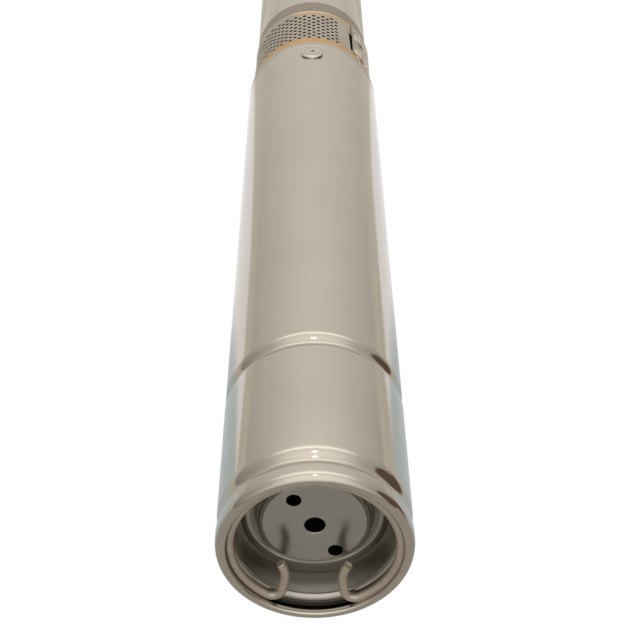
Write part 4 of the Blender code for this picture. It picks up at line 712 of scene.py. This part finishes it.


# Pump shell: drawn stainless tube round the stages, swaged out to a collar
# where it meets the suction casting. The swaging has left its slope dull.

# The swaged slope gets a duller finish, drawn darker and browner than the tube.
swaged_steel = metal("swaged_stainless_tube_dull", "#958b7c", "#a59b8b", (0.34, 0.44),
                     (600.0, 200.0, 600.0), 0.000002, 60.0)
shell_z = crown_top + 0.1
shell_top = (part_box("pump_shell")[1][1] - lip_y) * 1000
slope_low = shell_z + 1.1
slope_high = shell_z + 16.8
shape = bmesh.new()
lathe(shape, [(34.6, shell_top), (34.7, shell_top - 0.3), (34.7, shell_z + 17.6),
              (34.78, slope_high), (35.48, slope_low), (35.55, shell_z + 0.8),
              (35.5, shell_z + 0.3), (35.2, shell_z), (33.2, shell_z), (33.2, shell_top)])
for face in shape.faces:
    middle = face.calc_center_median()
    if math.hypot(middle.x, middle.y) > 0.0345 and slope_low < middle.z * 1000 < slope_high:
        face.material_index = 1
stage_tube = place("stage_tube", shape, drawn_steel, swaged_steel)
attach(stage_tube, "pump_body")
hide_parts("pump_shell")


# Discharge head: a stainless casting with a spigot in the shell, a collar as
# wide as the motor, a neck with a pipe thread inside, and two rope lugs.

# Investment-cast steel: an even grey with a fine grain.
cast_steel = metal("cast_stainless_head", "#b1aea7", "#c6c3bc", (0.30, 0.45),
                   (900.0, 900.0, 900.0), 0.00004, 70.0, 0.4)
discharge_low, discharge_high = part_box("discharge_head")
top = (discharge_high[1] - lip_y) * 1000
collar_z = top - 64.0
spigot_end = (discharge_low[1] - lip_y) * 1000
neck = [(21.4, top)] + arc(21.2, top - 0.8, 0.8, 60, 0, 3)
body = arc(24.5, collar_z + 28.5, 2.5, 180, 240, 4) + [(33.0, collar_z + 15.3)]
body += arc(tube_radius - 2.5, collar_z + 9.5, 2.5, 60, 0, 5)
body += [(tube_radius, collar_z + 0.5), (tube_radius - 0.5, collar_z), (32.9, collar_z),
         (32.9, spigot_end), (29.9, spigot_end), (12.5, collar_z - 2.0), (12.5, collar_z + 2.0),
         (20.0, collar_z + 2.0), (20.0, top - 29.0), (15.2, top - 23.0)]
thread = []
thread_turns = 9
thread_pitch = 2.31
for ridge in range(thread_turns):
    z = top - 22.5 + ridge * thread_pitch
    thread += [(15.25, z), (16.2, z + 0.95), (16.2, z + 1.36), (15.25, z + 2.3)]
shape = bmesh.new()
lathe(shape, neck + body + thread + [(16.0, top)])
lug_width = 0.006
for side in (90, -90):
    turn = math.radians(side) - math.pi / 2
    lug = bmesh.new()
    outline = [(20.6, 10.5), (36.6, 10.5)] + arc(30.0, 24.5, 7.2, -10, 120, 12)
    outline += [(20.6, 34.0)]
    eye = arc(30.0, 24.5, 5.0, 0, 350, 35)
    for loop in (outline, eye):
        verts = [lug.verts.new((r / 1000, -lug_width / 2, (collar_z + z) / 1000)) for r, z in loop]
        for i, vert in enumerate(verts):
            lug.edges.new((vert, verts[i - 1]))
    bmesh.ops.triangle_fill(lug, edges=lug.edges, use_beauty=True)
    grown = bmesh.ops.extrude_face_region(lug, geom=list(lug.faces))
    moved = [item for item in grown["geom"] if isinstance(item, bmesh.types.BMVert)]
    bmesh.ops.translate(lug, verts=moved, vec=(0, lug_width, 0))
    bmesh.ops.recalc_face_normals(lug, faces=lug.faces)
    rim_edges = [e for e in lug.edges if len(e.link_faces) == 2
                 and e.calc_face_angle(0) > 1.2 and abs(e.verts[0].co.y - e.verts[1].co.y) < 1e-5]
    bmesh.ops.bevel(lug, geom=rim_edges, offset=0.0008, segments=3, profile=0.5, affect="EDGES",
                    material=-1)
    bmesh.ops.rotate(lug, verts=lug.verts, cent=(0, 0, 0), matrix=Matrix.Rotation(turn, 3, "Z"))
    mesh = bpy.data.meshes.new("lug")
    lug.to_mesh(mesh)
    lug.free()
    shape.from_mesh(mesh)
    bpy.data.meshes.remove(mesh)
discharge_casting = place("discharge_casting", shape, cast_steel)
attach(discharge_casting, "pump_body")
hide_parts("discharge_head")


# Pieces inside the closed pump keep their solids and get their own finishes:
# they show only through the base cover's holes, the screen and the port.

# Stacked sheet: dark, with the edges of its layers as rings.
laminated_steel = metal("stacked_electrical_sheet", "#5f6064", "#7b7c80", (0.35, 0.5),
                        (20.0, 2000.0, 20.0), 0.00005)
# Varnished wire: brown copper with a low shine.
wound_copper = metal("varnished_copper_winding", "#8f4a22", "#b8693a", (0.25, 0.4),
                     (900.0, 60.0, 900.0), 0.0001)
# Die-cast aluminium: pale and slightly grainy.
cast_aluminium = metal("die_cast_aluminium", "#b9bbbd", "#cfd1d2", (0.35, 0.5),
                       (700.0, 700.0, 700.0), 0.00005, 60.0)
# Ground steel: the brightest metal of the pump.
ground_steel = metal("ground_shaft_steel", "#c9c9c9", "#dcdcdc", (0.08, 0.14),
                     (50.0, 2000.0, 50.0), 0.000003)
# Polished ceramic: off-white and glossy.
ceramic = moulded("polished_alumina_ceramic", "#ddd8cc", "#ebe7de", (0.12, 0.2), 400.0, 0.00001)
# Lapped carbon: near black, with a soft shine.
carbon = moulded("lapped_carbon_graphite", "#1c1c1e", "#29292b", (0.25, 0.4), 700.0, 0.00001)
# Moulded acetal: cream, with a waxy shine.
cream_plastic = moulded("moulded_cream_acetal", "#d8d3c4", "#e6e2d6", (0.3, 0.42), 600.0, 0.00002)
# Moulded polycarbonate: black, with a fine grain.
black_plastic = moulded("moulded_black_polycarbonate", "#17181a", "#222326", (0.35, 0.5), 600.0,
                        0.00003)
inner_finishes = {
    "diaphragm": nitrile, "head_oring": nitrile, "cable_gland": nitrile,
    "lower_bracket": cast_aluminium, "rotor_cage": cast_aluminium,
    "stator_core": laminated_steel, "rotor_core": laminated_steel, "stator_winding": wound_copper,
    "motor_shaft": ground_steel, "pump_shaft": ground_steel, "shaft_coupling": ground_steel,
    "seal_seat": ceramic, "seal_face": carbon, "seal_spring": wire_steel,
    "seal_collar": turned_steel, "valve_poppet": cream_plastic, "valve_guide": cream_plastic}
for end in ("lower", "upper"):
    inner_finishes[end + "_bearing_outer_race"] = ground_steel
    inner_finishes[end + "_bearing_inner_race"] = ground_steel
    inner_finishes[end + "_bearing_cage"] = cast_brass
for number in range(1, 5):
    inner_finishes["impeller_%d" % number] = cream_plastic
    inner_finishes["diffuser_%d" % number] = black_plastic
for node, finish in inner_finishes.items():
    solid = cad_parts[node]
    for slot in solid.material_slots:
        slot.material = finish
